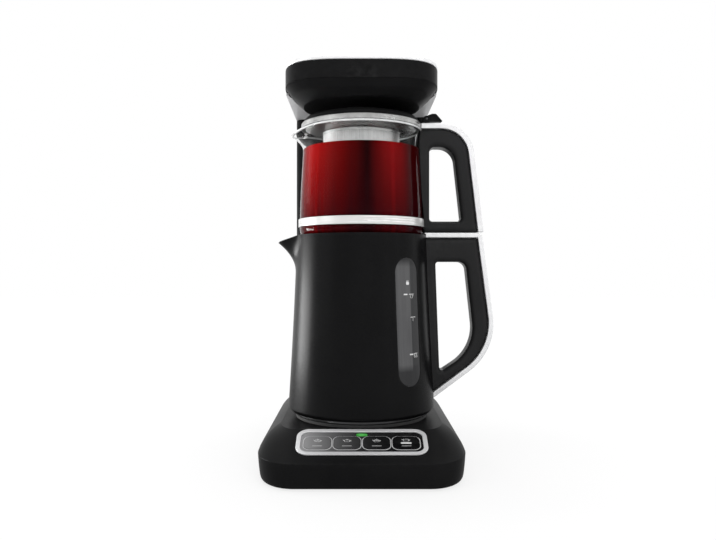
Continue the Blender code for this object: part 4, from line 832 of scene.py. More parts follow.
@dataclass(frozen=True)
class PanelFinish(Finish):
    """Gloss black with a painted reflection: it turns grey towards the left of the control panel."""

    left: float = -0.085
    right: float = 0.022
    fall: float = 3.2
    painted_reflection_grey: Colour = (0.36, 0.36, 0.365)

    def coloured(self, make: Nodes, clean: Field) -> Field:
        """Mix in the grey of the painted reflection.

        Args:
            make: The material's nodes.
            clean: Colour of the grain and wear.

        Returns:
            The colour.
        """
        # Painted reflection: grey that rises towards the panel's left and fades out to the right.
        across = make.split(make.value("TexCoord", "Object"))[0]
        share = make.value("MapRange", Value=across, From_Min=self.left, From_Max=self.right,
            To_Min=1.0, To_Max=0.0)
        return make.mixed(share ** self.fall, clean, (*self.painted_reflection_grey, 1.0))


@dataclass(frozen=True)
class WindowFinish(Finish):
    """Smoked pane with the paler water channel showing behind its left part."""

    channel: tuple[tuple[float, float], ...] = ((0.0, 0.7), (0.10, 1.0), (0.60, 1.0), (0.65, 0.36),
        (1.0, 0.25))
    dark: Colour = (0.012, 0.012, 0.013)

    def coloured(self, make: Nodes, clean: Field) -> Field:
        """Darken all but the channel.

        Args:
            make: The material's nodes.
            clean: Colour of the grain and wear.

        Returns:
            The colour.
        """
        x, y, _ = make.split(make.value("UVMap"))
        channel = make.ramp(x, [(share, (level,) * 3) for share, level in self.channel])
        foot = make.value("MapRange", Value=y, From_Min=0.10, From_Max=0.17)
        top = make.value("MapRange", Value=y, From_Min=1.0, From_Max=0.93)
        return make.mixed((foot * top * channel).at_least(0.22), (*self.dark, 1.0), clean)


@dataclass(frozen=True)
class GlassFinish(Finish):
    """Clear glass that lets light through to what is behind it."""

    ior: float = 1.12
    shade: Colour = (0.92, 0.93, 0.93)

    def material(self) -> Material:
        """Build the material.

        Returns:
            The material.
        """
        look, make, shader, grain = self.start()
        make.fill(shader, Base_Color=grain.outputs["Colour"], Roughness=grain.outputs["Roughness"],
            Transmission_Weight=1.0, IOR=self.ior)
        mix = make.node("MixShader")
        for number, value in enumerate((make.value("LightPath", "Is Shadow Ray"),
                shader.outputs[0], make.value("BsdfTransparent", Color=(*self.shade, 1.0)))):
            make.feed(mix.inputs[number], value)
        make.fill(look.node_tree.nodes["Material Output"], Surface=mix.outputs[0])
        return look


@dataclass(frozen=True)
class TeaFinish(Finish):
    """Strong red tea with painted light: bright red bands near the sides, painted shade in the middle
    and towards the bottom.
    """

    painted_light_bands: tuple[tuple[float, Colour], ...] = ((0.27, (0.06, 0.0008, 0.001)),
        (0.34, (0.38, 0.004, 0.004)), (0.40, (0.22, 0.002, 0.002)), (0.46, (0.09, 0.001, 0.001)),
        (0.515, (0.003, 0.0002, 0.0003)), (0.585, (0.22, 0.003, 0.004)),
        (0.65, (0.03, 0.0006, 0.0008)))
    low: float = 0.250
    high: float = 0.330
    painted_shade: Colour = (0.012, 0.0005, 0.0015)

    def material(self) -> Material:
        """Build the material.

        Returns:
            The material.
        """
        look, make, shader, _ = self.start()
        turned = make.value("Group", "Turn", {"node_tree": AROUND})
        place = make.value("TexCoord", "Object")
        swirl = make.value("TexNoise", Vector=place, Scale=14.0, Detail=2.0)
        # Painted light: red bands by the turn about the axis, bright near the sides and dark in the
        # middle.
        colour = make.ramp(turned + (swirl - 0.5) * 0.008, self.painted_light_bands)
        # Painted shade: darker towards the bottom of the tea, broken up by streaks.
        level = make.value("MapRange", Value=make.split(place)[2], From_Min=self.low,
            From_Max=self.high, To_Min=0.78, To_Max=0.0)
        streak = make.value("TexNoise", 0, {"noise_dimensions": "1D"}, W=turned, Scale=90.0,
            Detail=2.0)
        share = (level + (streak - 0.45) * 0.7).at_least(0.0).at_most(0.95)
        make.fill(shader, Base_Color=make.mixed(share, colour, (*self.painted_shade, 1.0)),
            Roughness=self.roughness, Specular_IOR_Level=self.specular)
        return look


class Look(Enum):
    """Every finish of the tea maker."""

    SATIN = Finish("satin_black", Slot.SATIN, (0.0058, 0.0058, 0.0061), (0.0095, 0.0095, 0.0098),
        0.34, grain_scale=1500.0, grain_depth=0.10, worn=(0.04, 0.04, 0.04), specular=0.024)
    # A lighter copy of the satin black for the grips: painted sheen standing in for their soft
    # highlights.
    GRIP_SHEEN = Finish("grip_black_painted_sheen", Slot.SATIN, (0.012, 0.012, 0.0125), (0.020, 0.020, 0.0205), 0.30,
        grain_scale=1500.0, grain_depth=0.06, worn=(0.05, 0.05, 0.05), specular=0.08)
    GLOSS = Finish("gloss_black", Slot.GLOSS, (0.003, 0.003, 0.0033), (0.005, 0.005, 0.0053), 0.14,
        grain_depth=0.015, worn=(0.03, 0.03, 0.03), specular=0.05)
    PANEL = PanelFinish("panel_black", Slot.GLOSS, (0.003, 0.003, 0.0033),
        (0.0045, 0.0045, 0.0048), 0.16, grain_depth=0.01, wear=0.1, specular=0.04)
    PAINT = Finish("kettle_black", Slot.PAINT, (0.0040, 0.0040, 0.0043), (0.0062, 0.0062, 0.0065),
        0.28, grain_scale=1500.0, grain_depth=0.008, worn=(0.04, 0.04, 0.04), wear=0.3,
        specular=0.054)
    # Darkened chrome, as painted shade on the foot ring under the kettle; the hinge pin uses it too.
    SHADOW_CHROME = Finish("dark_chrome", Slot.SILVER, (0.07, 0.07, 0.072), (0.11, 0.11, 0.112),
        0.22, metallic=1.0, grain_depth=0.02, brushing=Brushing.AROUND, worn=(0.3, 0.3, 0.3))
    RUBBER = Finish("black_rubber", Slot.RUBBER, (0.016, 0.016, 0.016), (0.026, 0.026, 0.026),
        0.78, 0.12, grain_scale=500.0, grain_depth=0.2)
    TRIM = Finish("bright_silver", Slot.TRIM, (0.78, 0.78, 0.79), (0.85, 0.85, 0.86), 0.24,
        metallic=0.45, grain_depth=0.02, worn=(0.55, 0.55, 0.56), wear=0.5, coat=0.3)
    SILVER = Finish("satin_silver", Slot.SILVER, (0.50, 0.50, 0.51), (0.58, 0.58, 0.59), 0.38,
        metallic=0.35, grain_scale=1300.0, grain_depth=0.08, worn=(0.7, 0.7, 0.7))
    BAND = Finish("bright_band", Slot.STEEL, (0.64, 0.64, 0.63), (0.72, 0.72, 0.71), 0.26, 0.10,
        0.35, 1400.0, 0.06, brushing=Brushing.AROUND, worn=(0.76, 0.76, 0.76), coat=0.2)
    STEEL_AROUND = Finish("steel_brushed_around", Slot.STEEL, (0.29, 0.29, 0.285),
        (0.39, 0.39, 0.385), 0.28, 0.12, 0.85, 1400.0, 0.10, brushing=Brushing.AROUND,
        worn=(0.8, 0.8, 0.8))
    STEEL_UPRIGHT = Finish("steel_brushed_upright", Slot.STEEL, (0.44, 0.44, 0.435),
        (0.66, 0.66, 0.655), 0.34, 0.12, 0.6, 700.0, 0.12, brushing=Brushing.UPRIGHT,
        worn=(0.8, 0.8, 0.8))
    GLASS = GlassFinish("pot_glass", Slot.GLASS, (0.965, 0.975, 0.975), (0.985, 0.99, 0.99), 0.014,
        0.02, grain_scale=6.0, drift_scale=4.0)
    TEA = TeaFinish("red_tea", None, (0.2, 0.0, 0.0), (0.1, 0.0, 0.0), 0.06, specular=0.0)
    WINDOW = WindowFinish("smoked_pane", Slot.SMOKED, (0.075, 0.075, 0.078), (0.10, 0.10, 0.102),
        0.20, grain_scale=300.0, grain_depth=0.02, brushing=Brushing.UPRIGHT, wear=0.1,
        specular=0.10)
    LENS = Finish("green_lens", Slot.LENS, (0.012, 0.12, 0.014), (0.03, 0.25, 0.03), 0.2,
        grain_depth=0.01, drift_scale=160.0, worn=(0.2, 0.7, 0.2), glow=0.45)
    BOARD = Finish("circuit_green", Slot.BOARD, (0.015, 0.13, 0.055), (0.03, 0.19, 0.08), 0.45,
        grain_scale=350.0, grain_depth=0.15, worn=(0.3, 0.3, 0.2))
    HOSE = Finish("milky_silicone", Slot.HOSE, (0.70, 0.70, 0.67), (0.78, 0.78, 0.75), 0.5,
        grain_scale=300.0, worn=(0.85, 0.85, 0.82))
    SEAL = Finish("grey_silicone", Slot.SEAL, (0.26, 0.26, 0.26), (0.33, 0.33, 0.33), 0.58,
        grain_scale=400.0, worn=(0.42, 0.42, 0.42))
    PRINT = Finish("pale_print", None, (0.60, 0.60, 0.60), (0.74, 0.74, 0.74), 0.5,
        grain_scale=1200.0, worn=(0.3, 0.3, 0.3), wear=0.2)
    # Pale ring on the glass rim: a painted highlight.
    RIM_HIGHLIGHT = Finish("painted_rim_highlight", Slot.GLASS, (0.62, 0.63, 0.63), (0.80, 0.81, 0.81), 0.16,
        grain_scale=200.0, grain_depth=0.02, drift_scale=60.0, worn=(0.9, 0.9, 0.9), coat=0.5)
    OUTLINE = Finish("grey_print", None, (0.52, 0.52, 0.525), (0.64, 0.64, 0.645), 0.42,
        grain_scale=1200.0, worn=(0.15, 0.15, 0.15), wear=0.2)

    @cache
    def material(self) -> Material:
        """The finish's material, made once."""
        return self.value.material()


def finished(name: str, mesh: Mesh, look: Look, body: Body | str, replaces: Sequence[str] = (),
        crease: float = 38.0, slot: Slot | None = None) -> None:
    """Put a mesh that was made about the pots' axis into the scene as a piece.

    Args:
        name: Name of the piece.
        mesh: Its mesh.
        look: Its finish.
        body: Body that it rides on.
        replaces: CAD nodes that it stands for.
        crease: Edges that turn by more degrees stay sharp.
        slot: Material slot of the record, if it isn't the finish's own; not used.
    """
    mesh.shade_smooth()
    mesh.set_sharp_from_angle(angle=math.radians(crease))
    mesh = worked(mesh, "WEIGHTED_NORMAL", keep_sharp=True, weight=50)
    mesh.transform(Matrix.Translation(AXIS))
    mesh.name = name
    mesh.materials.clear()
    mesh.materials.append(look.material())
    for face in mesh.polygons:
        face.material_index = 0
    piece = linked(name, mesh)
    rides_on = body.value if isinstance(body, Body) else body
    slot = slot or look.value.slot
    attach(piece, rides_on)
    if replaces:
        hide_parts(*replaces)
    LOG.info("%s: %d faces on %s", name, len(mesh.polygons), rides_on)


# Sub-assemblies


@dataclass
class BaseUnit:
    """Base housing, its cover, feet and screws, the kettle's seat, the dock and the gland."""

    half_width: float = 0.1004
    lift: float = 0.0015
    hem: float = 0.0015
    hem_height: float = 0.002
    crease: float = 0.025
    deck_half_width: float = 0.082
    deck_front: float = -0.073
    deck_rear: float = 0.1515
    front_corner: tuple[float, float] = (0.038, 0.052)
    rear_corner: float = 0.040
    deck_front_corner: tuple[float, float] = (0.020, 0.036)
    deck_rear_corner: float = 0.024
    wall: float = 0.003
    cover: float = 0.0025
    fullness: float = 0.6
    tuck: float = 0.0038
    tuck_shares: tuple[tuple[float, float], ...] = ((1.0, 0.0), (0.84, 0.015), (0.66, 0.06),
        (0.50, 0.15), (0.35, 0.30), (0.20, 0.52), (0.07, 0.78))
    slope_steps: int = 8
    foot_radius: float = 0.008
    foot_height: float = 0.0027
    screw_head: float = 0.0028
    seat_radius: float = 0.070

    def ring(self, half_width: float, front: float, rear: float, front_corner: tuple[float, float],
            rear_corner: tuple[float, float], z: float, steps: int = 16) -> Ring:
        """Ring with elliptical corners, anticlockwise from above.

        Args:
            half_width: Half its width.
            front: Y of its front.
            rear: Y of its rear.
            front_corner: Size of a front corner across and along.
            rear_corner: Size of a rear corner across and along.
            z: Its height.
            steps: Facets of each corner.

        Returns:
            The ring.
        """
        corners = ((1, -1, front, front_corner), (1, 1, rear, rear_corner),
            (-1, 1, rear, rear_corner), (-1, -1, front, front_corner))
        ring: Ring = []
        for quarter, (side, way, edge, (across, along)) in enumerate(corners):
            for step in range(steps + 1):
                angle = math.radians(90 * (quarter - 1 + step / steps))
                ring.append((side * (half_width - across) + across * math.cos(angle),
                    edge - way * along + along * math.sin(angle), z))
        return ring

    def outline(self, inset: float, z: float) -> Ring:
        """The base's outline at a height, drawn in on all sides."""
        across, along = self.front_corner
        rear = self.rear_corner - inset
        return self.ring(self.half_width - inset, XY.base_front + inset, XY.base_rear - inset,
            (across - inset, along - inset), (rear, rear), z)

    def slope(self, low: Ring, high: Ring) -> list[Ring]:
        """Rings of the slope: flat in front, full at the sides.

        Args:
            low: Ring at the crease.
            high: Ring at the deck.

        Returns:
            The rings between them.
        """
        rings: list[Ring] = []
        corner = len(low) // 4 - 1
        for level in range(1, self.slope_steps):
            share = level / self.slope_steps
            bend = math.pi / 2 * share
            ring: Ring = []
            for index, (a, b) in enumerate(zip(low, high)):
                step = index % (corner + 1) / corner
                full = self.fullness * (step if index // (corner + 1) in (0, 2) else 1 -
                    step) ** 1.5
                inward = share + full * (1 - math.cos(bend) - share)
                upward = share + full * (math.sin(bend) - share)
                ring.append((a[0] + (b[0] - a[0]) * inward, a[1] + (b[1] - a[1]) * inward,
                    a[2] + (b[2] - a[2]) * upward))
            rings.append(ring)
        return rings

    def housing(self, panel: "ControlPanel") -> None:
        """Build the housing, with a recess for the cover and a pocket for the panel.

        Args:
            panel: The control panel that sits in its slope.
        """
        deck = self.ring(self.deck_half_width, self.deck_front, self.deck_rear,
            self.deck_front_corner, (self.deck_rear_corner,) * 2, Z.deck)
        floor = self.lift + self.cover + XY.fit
        inner = self.hem + self.wall
        crease = self.outline(0.0, self.crease)
        rings = [self.outline(inner, floor), self.outline(inner, self.lift),
            *(self.outline(self.tuck * inset, self.lift + self.crease * rise) for inset,
            rise in self.tuck_shares), crease, *self.slope(crease, deck), deck]
        shell = eased(skin(rings, capped=True), 0.0014, 3, 17.0)
        shell = cut(shell, panel.pocket(), panel.cavity())
        finished("base_housing_shell", shell, Look.SATIN, Body.STATION, ["base_housing"], 30.0)

    def underside(self) -> None:
        """Build the cover, its screws and the feet."""
        feet = [tuple(Vector(a) / 2 + Vector(b) / 2 - AXIS) for a,
            b in (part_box(f"foot_{number}") for number in range(1, 5))]
        screws = [tuple(Vector(a) / 2 + Vector(b) / 2 - AXIS) for a,
            b in (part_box(f"cover_screw_{number}") for number in range(1, 5))]
        plan = [(x, y) for x, y, z in self.outline(self.hem + self.wall + XY.fit, 0.0)]
        holes = [[(x + r * math.cos(math.tau * k / 48), y + r * math.sin(math.tau * k / 48)) for k
            in range(48)] for r, group in ((self.foot_radius + XY.fit, feet),
            (self.screw_head + XY.fit, screws)) for x, y, z in group]
        plate = eased(prism([plan, *holes], self.lift, self.lift + self.cover), 0.0003, 2)
        finished("base_cover_plate", plate, Look.SATIN, Body.STATION, ["base_cover"])
        r, h = self.foot_radius, self.foot_height
        foot = revolved([(0.0, h, 0.0), (r, h, 0.0), (r, 0.0, 0.0006), (r * 0.72, 0.0, 0.0003),
            (r * 0.66, 0.0005, 0.0002), (r * 0.40, 0.0005, 0.0002), (r * 0.34, 0.0, 0.0003),
            (0.0, 0.0, 0.0)], 40, 3)
        pads = repeated("feet", foot, [(x, y, 0.0) for x, y, z in feet], Look.RUBBER)
        finished("rubber_feet", pads, Look.RUBBER, Body.STATION,
            [f"foot_{number}" for number in range(1, 5)])
        head = self.screw_head
        low = self.lift + 0.0001
        screw = revolved([(0.0, 0.0136, 0.0), (0.0011, 0.0136, 0.0003), (0.0011, 0.0011, 0.0),
            (head, 0.0011, 0.0002), (head, 0.0, 0.0006), (0.0, 0.0, 0.0)], 24, 3)
        slots = [prism([rounded_box(0.0032, 0.0007, 0.0002)], -0.001, 0.0007),
            prism([rounded_box(0.0007, 0.0032, 0.0002)], -0.001, 0.0007)]
        cross = cut(screw, *slots)
        fixings = repeated("cover_screws", cross, [(x, y, low) for x, y, z in screws],
            Look.STEEL_AROUND)
        finished("cover_screws", fixings, Look.STEEL_AROUND, Body.STATION,
            [f"cover_screw_{number}" for number in range(1, 5)])

    def seat(self) -> None:
        """Build the ringed disc that the kettle stands on."""
        base, top, r = Z.deck + XY.fit, Z.seat_top, self.seat_radius
        section: list[Point] = [(0.0, base, 0.0), (r, base, 0.0002), (r, top, 0.0009)]
        for groove in (0.86, 0.70, 0.40):
            edge = r * groove
            section += [(edge + 0.0010, top, 0.0002), (edge, top - 0.0007, 0.0002),
                (edge - 0.0010, top, 0.0002)]
        section.append((0.0, top, 0.0))
        finished("kettle_rest", revolved(section, 144, 3), Look.RUBBER, Body.STATION,
            ["kettle_seat"])

    def dock(self) -> None:
        """Build the block behind the kettle with the tongue that reaches into it."""
        low, high = (Vector(corner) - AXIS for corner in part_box("dock_block"))
        front, back, wide, tongue = 0.090, 0.1017, 0.060, 0.036
        tongue_low, tongue_high = 0.0565, 0.0675
        block = eased(moved(prism([rounded_box(wide, back - front, 0.002)], low.z, high.z),
            shift(0.0, (front + back) / 2)), 0.0008, 3)
        reach = eased(moved(prism([rounded_box(tongue, front + 0.002 - low.y, 0.0015)], tongue_low,
            tongue_high), shift(0.0, (low.y + front + 0.002) / 2)), 0.0004, 2)
        bore = moved(revolved([(0.0, -0.03, 0.0), (0.0033, -0.03, 0.0), (0.0033, 0.03, 0.0),
            (0.0, 0.03, 0.0)], 32), shift(-0.010, low.y, 0.062), turn(90, "X"))
        finished("dock_block_body", together(block, cut(reach, bore)), Look.SATIN, Body.STATION,
            ["dock_block"])

    def gland(self) -> None:
        """Build the ribbed gland in the rear wall."""
        rings: list[Point] = [(0.0036, -0.008, 0.0), (0.0065, -0.008, 0.0003), (0.0065, 0.0, 0.0),
            (0.0085, 0.0, 0.0002), (0.0085, 0.0025, 0.0008), (0.0072, 0.0025, 0.0002),
            (0.0070, 0.0019, 0.0001), (0.0060, 0.0019, 0.0001), (0.0058, 0.0025, 0.0002),
            (0.0036, 0.0025, 0.0004)]
        collar = moved(revolved(rings, 64, 3), shift(0.040, XY.base_rear + XY.fit, 0.0135),
            turn(-90, "X"))
        finished("lead_gland", collar, Look.RUBBER, Body.STATION, ["cord_gland"])

    def build(self, panel: "ControlPanel") -> None:
        """Build and dress the whole base."""
        self.housing(panel)
        self.underside()
        self.seat()
        self.dock()
        self.gland()


@dataclass
class ControlPanel:
    """Bright bezel, dark plate, status lens and four outlined keys on the front slope."""

    slope: float = math.atan2(0.0196, 0.052)
    climb: float = 0.0334
    bezel: tuple[float, float] = (0.124, 0.041)
    band: float = 0.0042
    corner: float = 0.012
    bezel_thickness: float = 0.0014
    plate_lap: float = 0.0012
    plate: float = 0.0013
    ledge: float = 0.0033
    key: tuple[float, float] = (0.0254, 0.0203)
    key_corner: float = 0.006
    key_pitch: float = 0.0279
    key_offset: float = -0.0005
    key_proud: float = 0.0008
    lens: tuple[float, float] = (0.011, 0.0046)
    lens_offset: float = 0.013
    line: float = 0.00068

    @property
    def frame(self) -> Matrix:
        """Where the panel's own plane is."""
        return (shift(0.0, self.climb * math.cos(self.slope) + XY.base_front,
            0.025 + self.climb * math.sin(self.slope)) @ Matrix.Rotation(self.slope, 4, "X"))

    @property
    def opening(self) -> tuple[float, float]:
        """Width and height inside the bezel."""
        return self.bezel[0] - self.band * 2, self.bezel[1] - self.band * 2

    def pocket(self) -> Mesh:
        """Cutter for the plate's recess."""
        width, height = self.opening
        grow = self.plate_lap * 2 + XY.fit * 2
        corner = self.corner - self.band + self.plate_lap + XY.fit
        return moved(prism([rounded_box(width + grow, height + grow, corner)],
            -self.plate - XY.fit, 0.002), self.frame)

    def cavity(self) -> Mesh:
        """Cutter for the room of the keys and their board."""
        width, height = self.opening
        grow = (self.plate_lap - self.ledge) * 2
        corner = self.corner - self.band + self.plate_lap - self.ledge
        return moved(prism([rounded_box(width + grow, height + grow, corner)], -0.0150, 0.003),
            self.frame)

    def plate_and_bezel(self) -> None:
        """Build the bezel, the plate with its openings and the lens."""
        width, height = self.opening
        hoop = [rounded_box(*self.bezel, self.corner, steps=20), rounded_box(width, height,
            self.corner - self.band, steps=20)]
        bezel = eased(prism(hoop, XY.fit, XY.fit + self.bezel_thickness), 0.0005, 3)
        finished("panel_bezel_frame", moved(bezel, self.frame), Look.TRIM, Body.STATION,
            ["panel_bezel"])
        grow = self.plate_lap * 2
        holes = [rounded_box(self.lens[0] + XY.fit * 2, self.lens[1] + XY.fit * 2,
            self.lens[1] / 2 + XY.fit - 0.00001, (0.0, self.lens_offset), 12)]
        holes += [rounded_box(self.key[0] + XY.fit * 2, self.key[1] + XY.fit * 2,
            self.key_corner + XY.fit, place, 12) for place in self.places()]
        outline = rounded_box(width + grow, height + grow,
            self.corner - self.band + self.plate_lap, steps=20)
        plate = prism([outline, *holes], -self.plate, 0.0)
        finished("panel_plate_face", moved(plate, self.frame), Look.PANEL, Body.STATION,
            ["panel_plate"])
        lens = eased(prism([rounded_box(*self.lens, self.lens[1] / 2 - 0.00001,
            (0.0, self.lens_offset), 12)], -self.plate, 0.0002), 0.0004, 3)
        finished("status_light", moved(lens, self.frame), Look.LENS, Body.STATION, ["status_lens"])

    def places(self) -> list[tuple[float, float]]:
        """Middles of the four keys in the panel's plane."""
        return [(self.key_pitch * (number - 1.5), self.key_offset) for number in range(4)]

    def stroke(self, points: Loop, width: float = 0.00042, closed: bool = False) -> Mesh:
        """Draw a line as a thin raised ribbon.

        Args:
            points: The line's points.
            width: Its width.
            closed: Whether its ends meet.

        Returns:
            The ribbon, with its underside at height 0.
        """
        curve = bpy.data.curves.new("line", "CURVE")
        curve.dimensions = "3D"
        curve.bevel_depth = width / 2
        curve.bevel_resolution = 1
        curve.use_fill_caps = True
        spline = curve.splines.new("POLY")
        spline.points.add(len(points) - 1)
        for point, (x, y) in zip(spline.points, points):
            point.co = (x, y, 0.0, 1.0)
        spline.use_cyclic_u = closed
        holder = bpy.data.objects.new("line", curve)
        bpy.context.scene.collection.objects.link(holder)
        graph = bpy.context.evaluated_depsgraph_get()
        mesh = bpy.data.meshes.new_from_object(holder.evaluated_get(graph))
        bpy.data.objects.remove(holder, do_unlink=True)
        return reshaped(mesh, lambda x, y, z: (x, y, max(z, 0.0) * 0.2))

    def pot_sign(self, number: int) -> list[Mesh]:
        """Draw a key's sign: a small pot over a line.

        Args:
            number: Which key, from 0 at the left.

        Returns:
            The sign's strokes.
        """
        pot = rounded([(-0.0022, 0.0, 0.0), (0.0022, 0.0, 0.0), (0.0028, 0.0030, 0.0010),
            (-0.0028, 0.0030, 0.0010)], 4)
        strokes = [self.stroke(pot, closed=True), self.stroke([(0.0026, 0.0022), (0.0038, 0.0024),
            (0.0036, 0.0010), (0.0023, 0.0008)]),
            self.stroke([(-0.0026, 0.0014), (-0.0040, 0.0030)])]
        if number != 3:
            strokes.append(self.stroke([(-0.0009, 0.0038), (0.0, 0.0044), (0.0009, 0.0038)]))
        if number == 0:
            strokes.append(self.stroke([(-0.0014, 0.0010), (0.0, 0.0020), (0.0014, 0.0010)]))
        if number == 2:
            strokes.append(self.stroke([(-0.0022, 0.0020), (0.0022, 0.0020)]))
        return [moved(mark, shift(0.0, 0.0010)) for mark in strokes]

    def keys(self) -> None:
        """Build the four keys with their outlines and signs."""
        under = -self.plate - XY.fit
        for number, (x, y) in enumerate(self.places()):
            body = f"key_{number + 1}"
            cap = eased(prism([rounded_box(*self.key, self.key_corner, steps=12)], under - 0.0005,
                self.key_proud), 0.0003, 2)
            flange = prism([rounded_box(self.key[0] + 0.0012, self.key[1] + 0.0012,
                self.key_corner)], under - 0.001, under)
            stem = moved(revolved([(0.0, 0.0, 0.0), (0.002, 0.0, 0.0003), (0.002, 0.0026, 0.0),
                (0.0, 0.0026, 0.0)], 32), shift(z=under - 0.0035))
            key = moved(together(cap, flange, stem), self.frame, shift(x, y))
            finished(f"key_{number + 1}_cap", key, Look.PANEL, body, [f"button_{number + 1}"])
            width, height = self.key[0] + XY.fit * 2, self.key[1] + XY.fit * 2
            corner = self.key_corner + XY.fit
            hoop = prism([rounded_box(width + self.line * 2, height + self.line * 2,
                corner + self.line, steps=12), rounded_box(width, height, corner, steps=12)],
                -0.00005, 0.0001)
            finished(f"key_{number + 1}_outline", moved(hoop, self.frame, shift(x, y)),
                Look.OUTLINE, Body.STATION)
            sign = [moved(mark, shift(z=self.key_proud)) for mark in self.pot_sign(number)]
            if number == 3:
                bar = prism([rounded_box(0.0102, 0.0024, 0.0010, (0.0, -0.0010))],
                    self.key_proud - 0.00005, self.key_proud + 0.00008)
                finished("key_4_bar", moved(bar, self.frame, shift(x, y)), Look.PRINT, body)
                sign = [moved(mark, shift(0.0, 0.0012)) for mark in sign]
            under_line = self.stroke([(-0.0045, -0.0056), (0.0045, -0.0056)], 0.0005)
            sign.append(moved(under_line, shift(z=self.key_proud)))
            finished(f"key_{number + 1}_sign", moved(together(*sign), self.frame, shift(x, y)),
                Look.PRINT, body)

    def build(self) -> None:
        """Build and dress the whole panel."""
        self.plate_and_bezel()
        self.keys()


@dataclass
class Column:
    """Front and rear halves of the hollow column."""

    wall: float = 0.0026
    front_corner: float = 0.012
    rear_corner: float = 0.020
    top: float = 0.3843
    steps: int = 14

    def half(self, front: float, rear: float, radius: float, open_at_front: bool) -> Loop:
        """Section of one half.

        Args:
            front: Y of its front.
            rear: Y of its rear.
            radius: Radius of its outer corners.
            open_at_front: Which way it is open.

        Returns:
            The section's outline.
        """
        side, wall = XY.column_half_width, self.wall
        if open_at_front:
            corners = [(side, front, 0.0), (side, rear, radius), (-side, rear, radius),
                (-side, front, 0.0), (wall - side, front, 0.0), (wall - side, rear - wall,
                radius - wall), (side - wall, rear - wall, radius - wall),
                (side - wall, front, 0.0)]
        else:
            corners = [(-side, rear, 0.0), (-side, front, radius), (side, front, radius),
                (side, rear, 0.0), (side - wall, rear, 0.0), (side - wall, front + wall,
                radius - wall), (wall - side, front + wall, radius - wall),
                (wall - side, rear, 0.0)]
        return rounded(corners, self.steps)

    def build(self) -> None:
        """Build and dress both halves."""
        low = Z.deck + XY.fit
        front = prism([self.half(XY.column_front, XY.column_split, self.front_corner, False)], low,
            self.top)
        rear = prism([self.half(XY.column_split + XY.fit, XY.column_rear, self.rear_corner, True)],
            low, self.top)
        finished("column_front_half", eased(front, 0.0005, 2, 60.0), Look.SATIN, Body.STATION,
            ["column_shell"])
        finished("column_rear_half", eased(rear, 0.0005, 2, 60.0), Look.SATIN, Body.STATION,
            ["column_rear_cover"])


@dataclass
class Head:
    """Head shell with its silver rim, top plate, silver soffit and brewing block."""

    front: float = 0.076
    squareness: float = 3.6
    wall: float = 0.0026
    rim_width: float = 0.007
    rear_corner: float = 0.020
    soffit: float = 0.0024
    soffit_front: float = -0.014
    block_radius: float = 0.062
    block_rear: float = 0.074
    shoulder: float = -0.032
    steps: int = 40

    def front_curve(self, inset: float, start: float = 0.0) -> Loop:
        """Squarish front of the head, from its left side round to its right side.

        Args:
            inset: How far it is drawn in.
            start: Points behind this Y are left out.

        Returns:
            The curve's points.
        """
        across, along = XY.column_half_width - inset, self.front - inset
        power = 2 / self.squareness
        points: Loop = []
        for step in range(self.steps * 2 + 1):
            angle = math.pi * (1 + step / (self.steps * 2))
            x = across * math.copysign(abs(math.cos(angle)) ** power, math.cos(angle))
            y = -along * abs(math.sin(angle)) ** power
            if y <= start:
                points.append((x, y))
        return points

    def plan(self, inset: float) -> Loop:
        """Plan of the head, drawn in by an inset."""
        side = XY.column_half_width - inset
        rear, radius = XY.column_rear - inset, self.rear_corner - inset
        front = [(x, y, 0.0) for x, y in self.front_curve(inset)]
        return rounded([*front, (side, rear, radius), (-side, rear, radius)], 12)

    def block_plan(self, grow: float = 0.0) -> Loop:
        """Plan of the block's top: the head's front and a rounder back."""
        points = self.front_curve(-grow, self.shoulder)
        side, shoulder = points[-1]
        rear = self.block_rear + grow - shoulder
        for step in range(1, 60):
            angle = math.pi * step / 60
            points.append((side * math.cos(angle), shoulder + rear * math.sin(angle)))
        return points

    def block(self) -> None:
        """Build the block, squarish at its top and round at its bottom."""
        top = self.block_plan()
        rings: list[Ring] = []
        levels = 12
        for level in range(levels + 1):
            rise = level / levels
            share = rise * 1.4 if rise <= 0.5 else 0.7 + (rise - 0.5) * 0.6
            ring: Ring = []
            for x, y in top:
                angle = math.atan2(y, x)
                low_x, low_y = self.block_radius * math.cos(angle), self.block_radius * math.sin(angle)
                ring.append((low_x + (x - low_x) * share, low_y + (y - low_y) * share,
                    Z.block_base + (Z.block_top - Z.block_base) * rise))
            rings.append(ring)
        body = eased(skin(rings, capped=True), 0.0008, 3, 35.0)
        finished("brewing_block_body", body, Look.SATIN, Body.STATION, ["brewing_block"], 30.0)

    def build(self) -> None:
        """Build and dress the whole head."""
        shell = eased(prism([self.plan(0.0), self.plan(self.wall)], Z.head_base, Z.head_wall_top),
            0.0006, 3, 60.0)
        finished("head_shell_wall", shell, Look.SATIN, Body.STATION, ["head_shell"])
        rim = eased(prism([self.plan(0.0), self.plan(self.rim_width)], Z.head_wall_top + XY.fit,
            Z.head_top), 0.0013, 4, 60.0)
        finished("head_rim_band", rim, Look.TRIM, Body.STATION, ["head_rim"])
        top = eased(prism([self.plan(self.rim_width + XY.fit)], Z.head_top - 0.0045,
            Z.head_top - 0.001), 0.0006, 3, 60.0)
        finished("head_top", top, Look.GLOSS, Body.STATION, ["head_top_plate"])
        low = Z.block_top - self.soffit
        soffit = prism([self.plan(0.0)], low, Z.block_top)
        hole = prism([self.block_plan(XY.fit)], low - 0.002, Z.block_top + 0.002)
        ahead = prism([rounded_box(0.2, 0.1, 0.0, (0.0, self.soffit_front - 0.05))], low - 0.002,
            Z.block_top + 0.002)
        finished("head_soffit_plate", cut(soffit, hole, ahead), Look.SILVER, Body.STATION,
            ["head_soffit"])
        self.block()


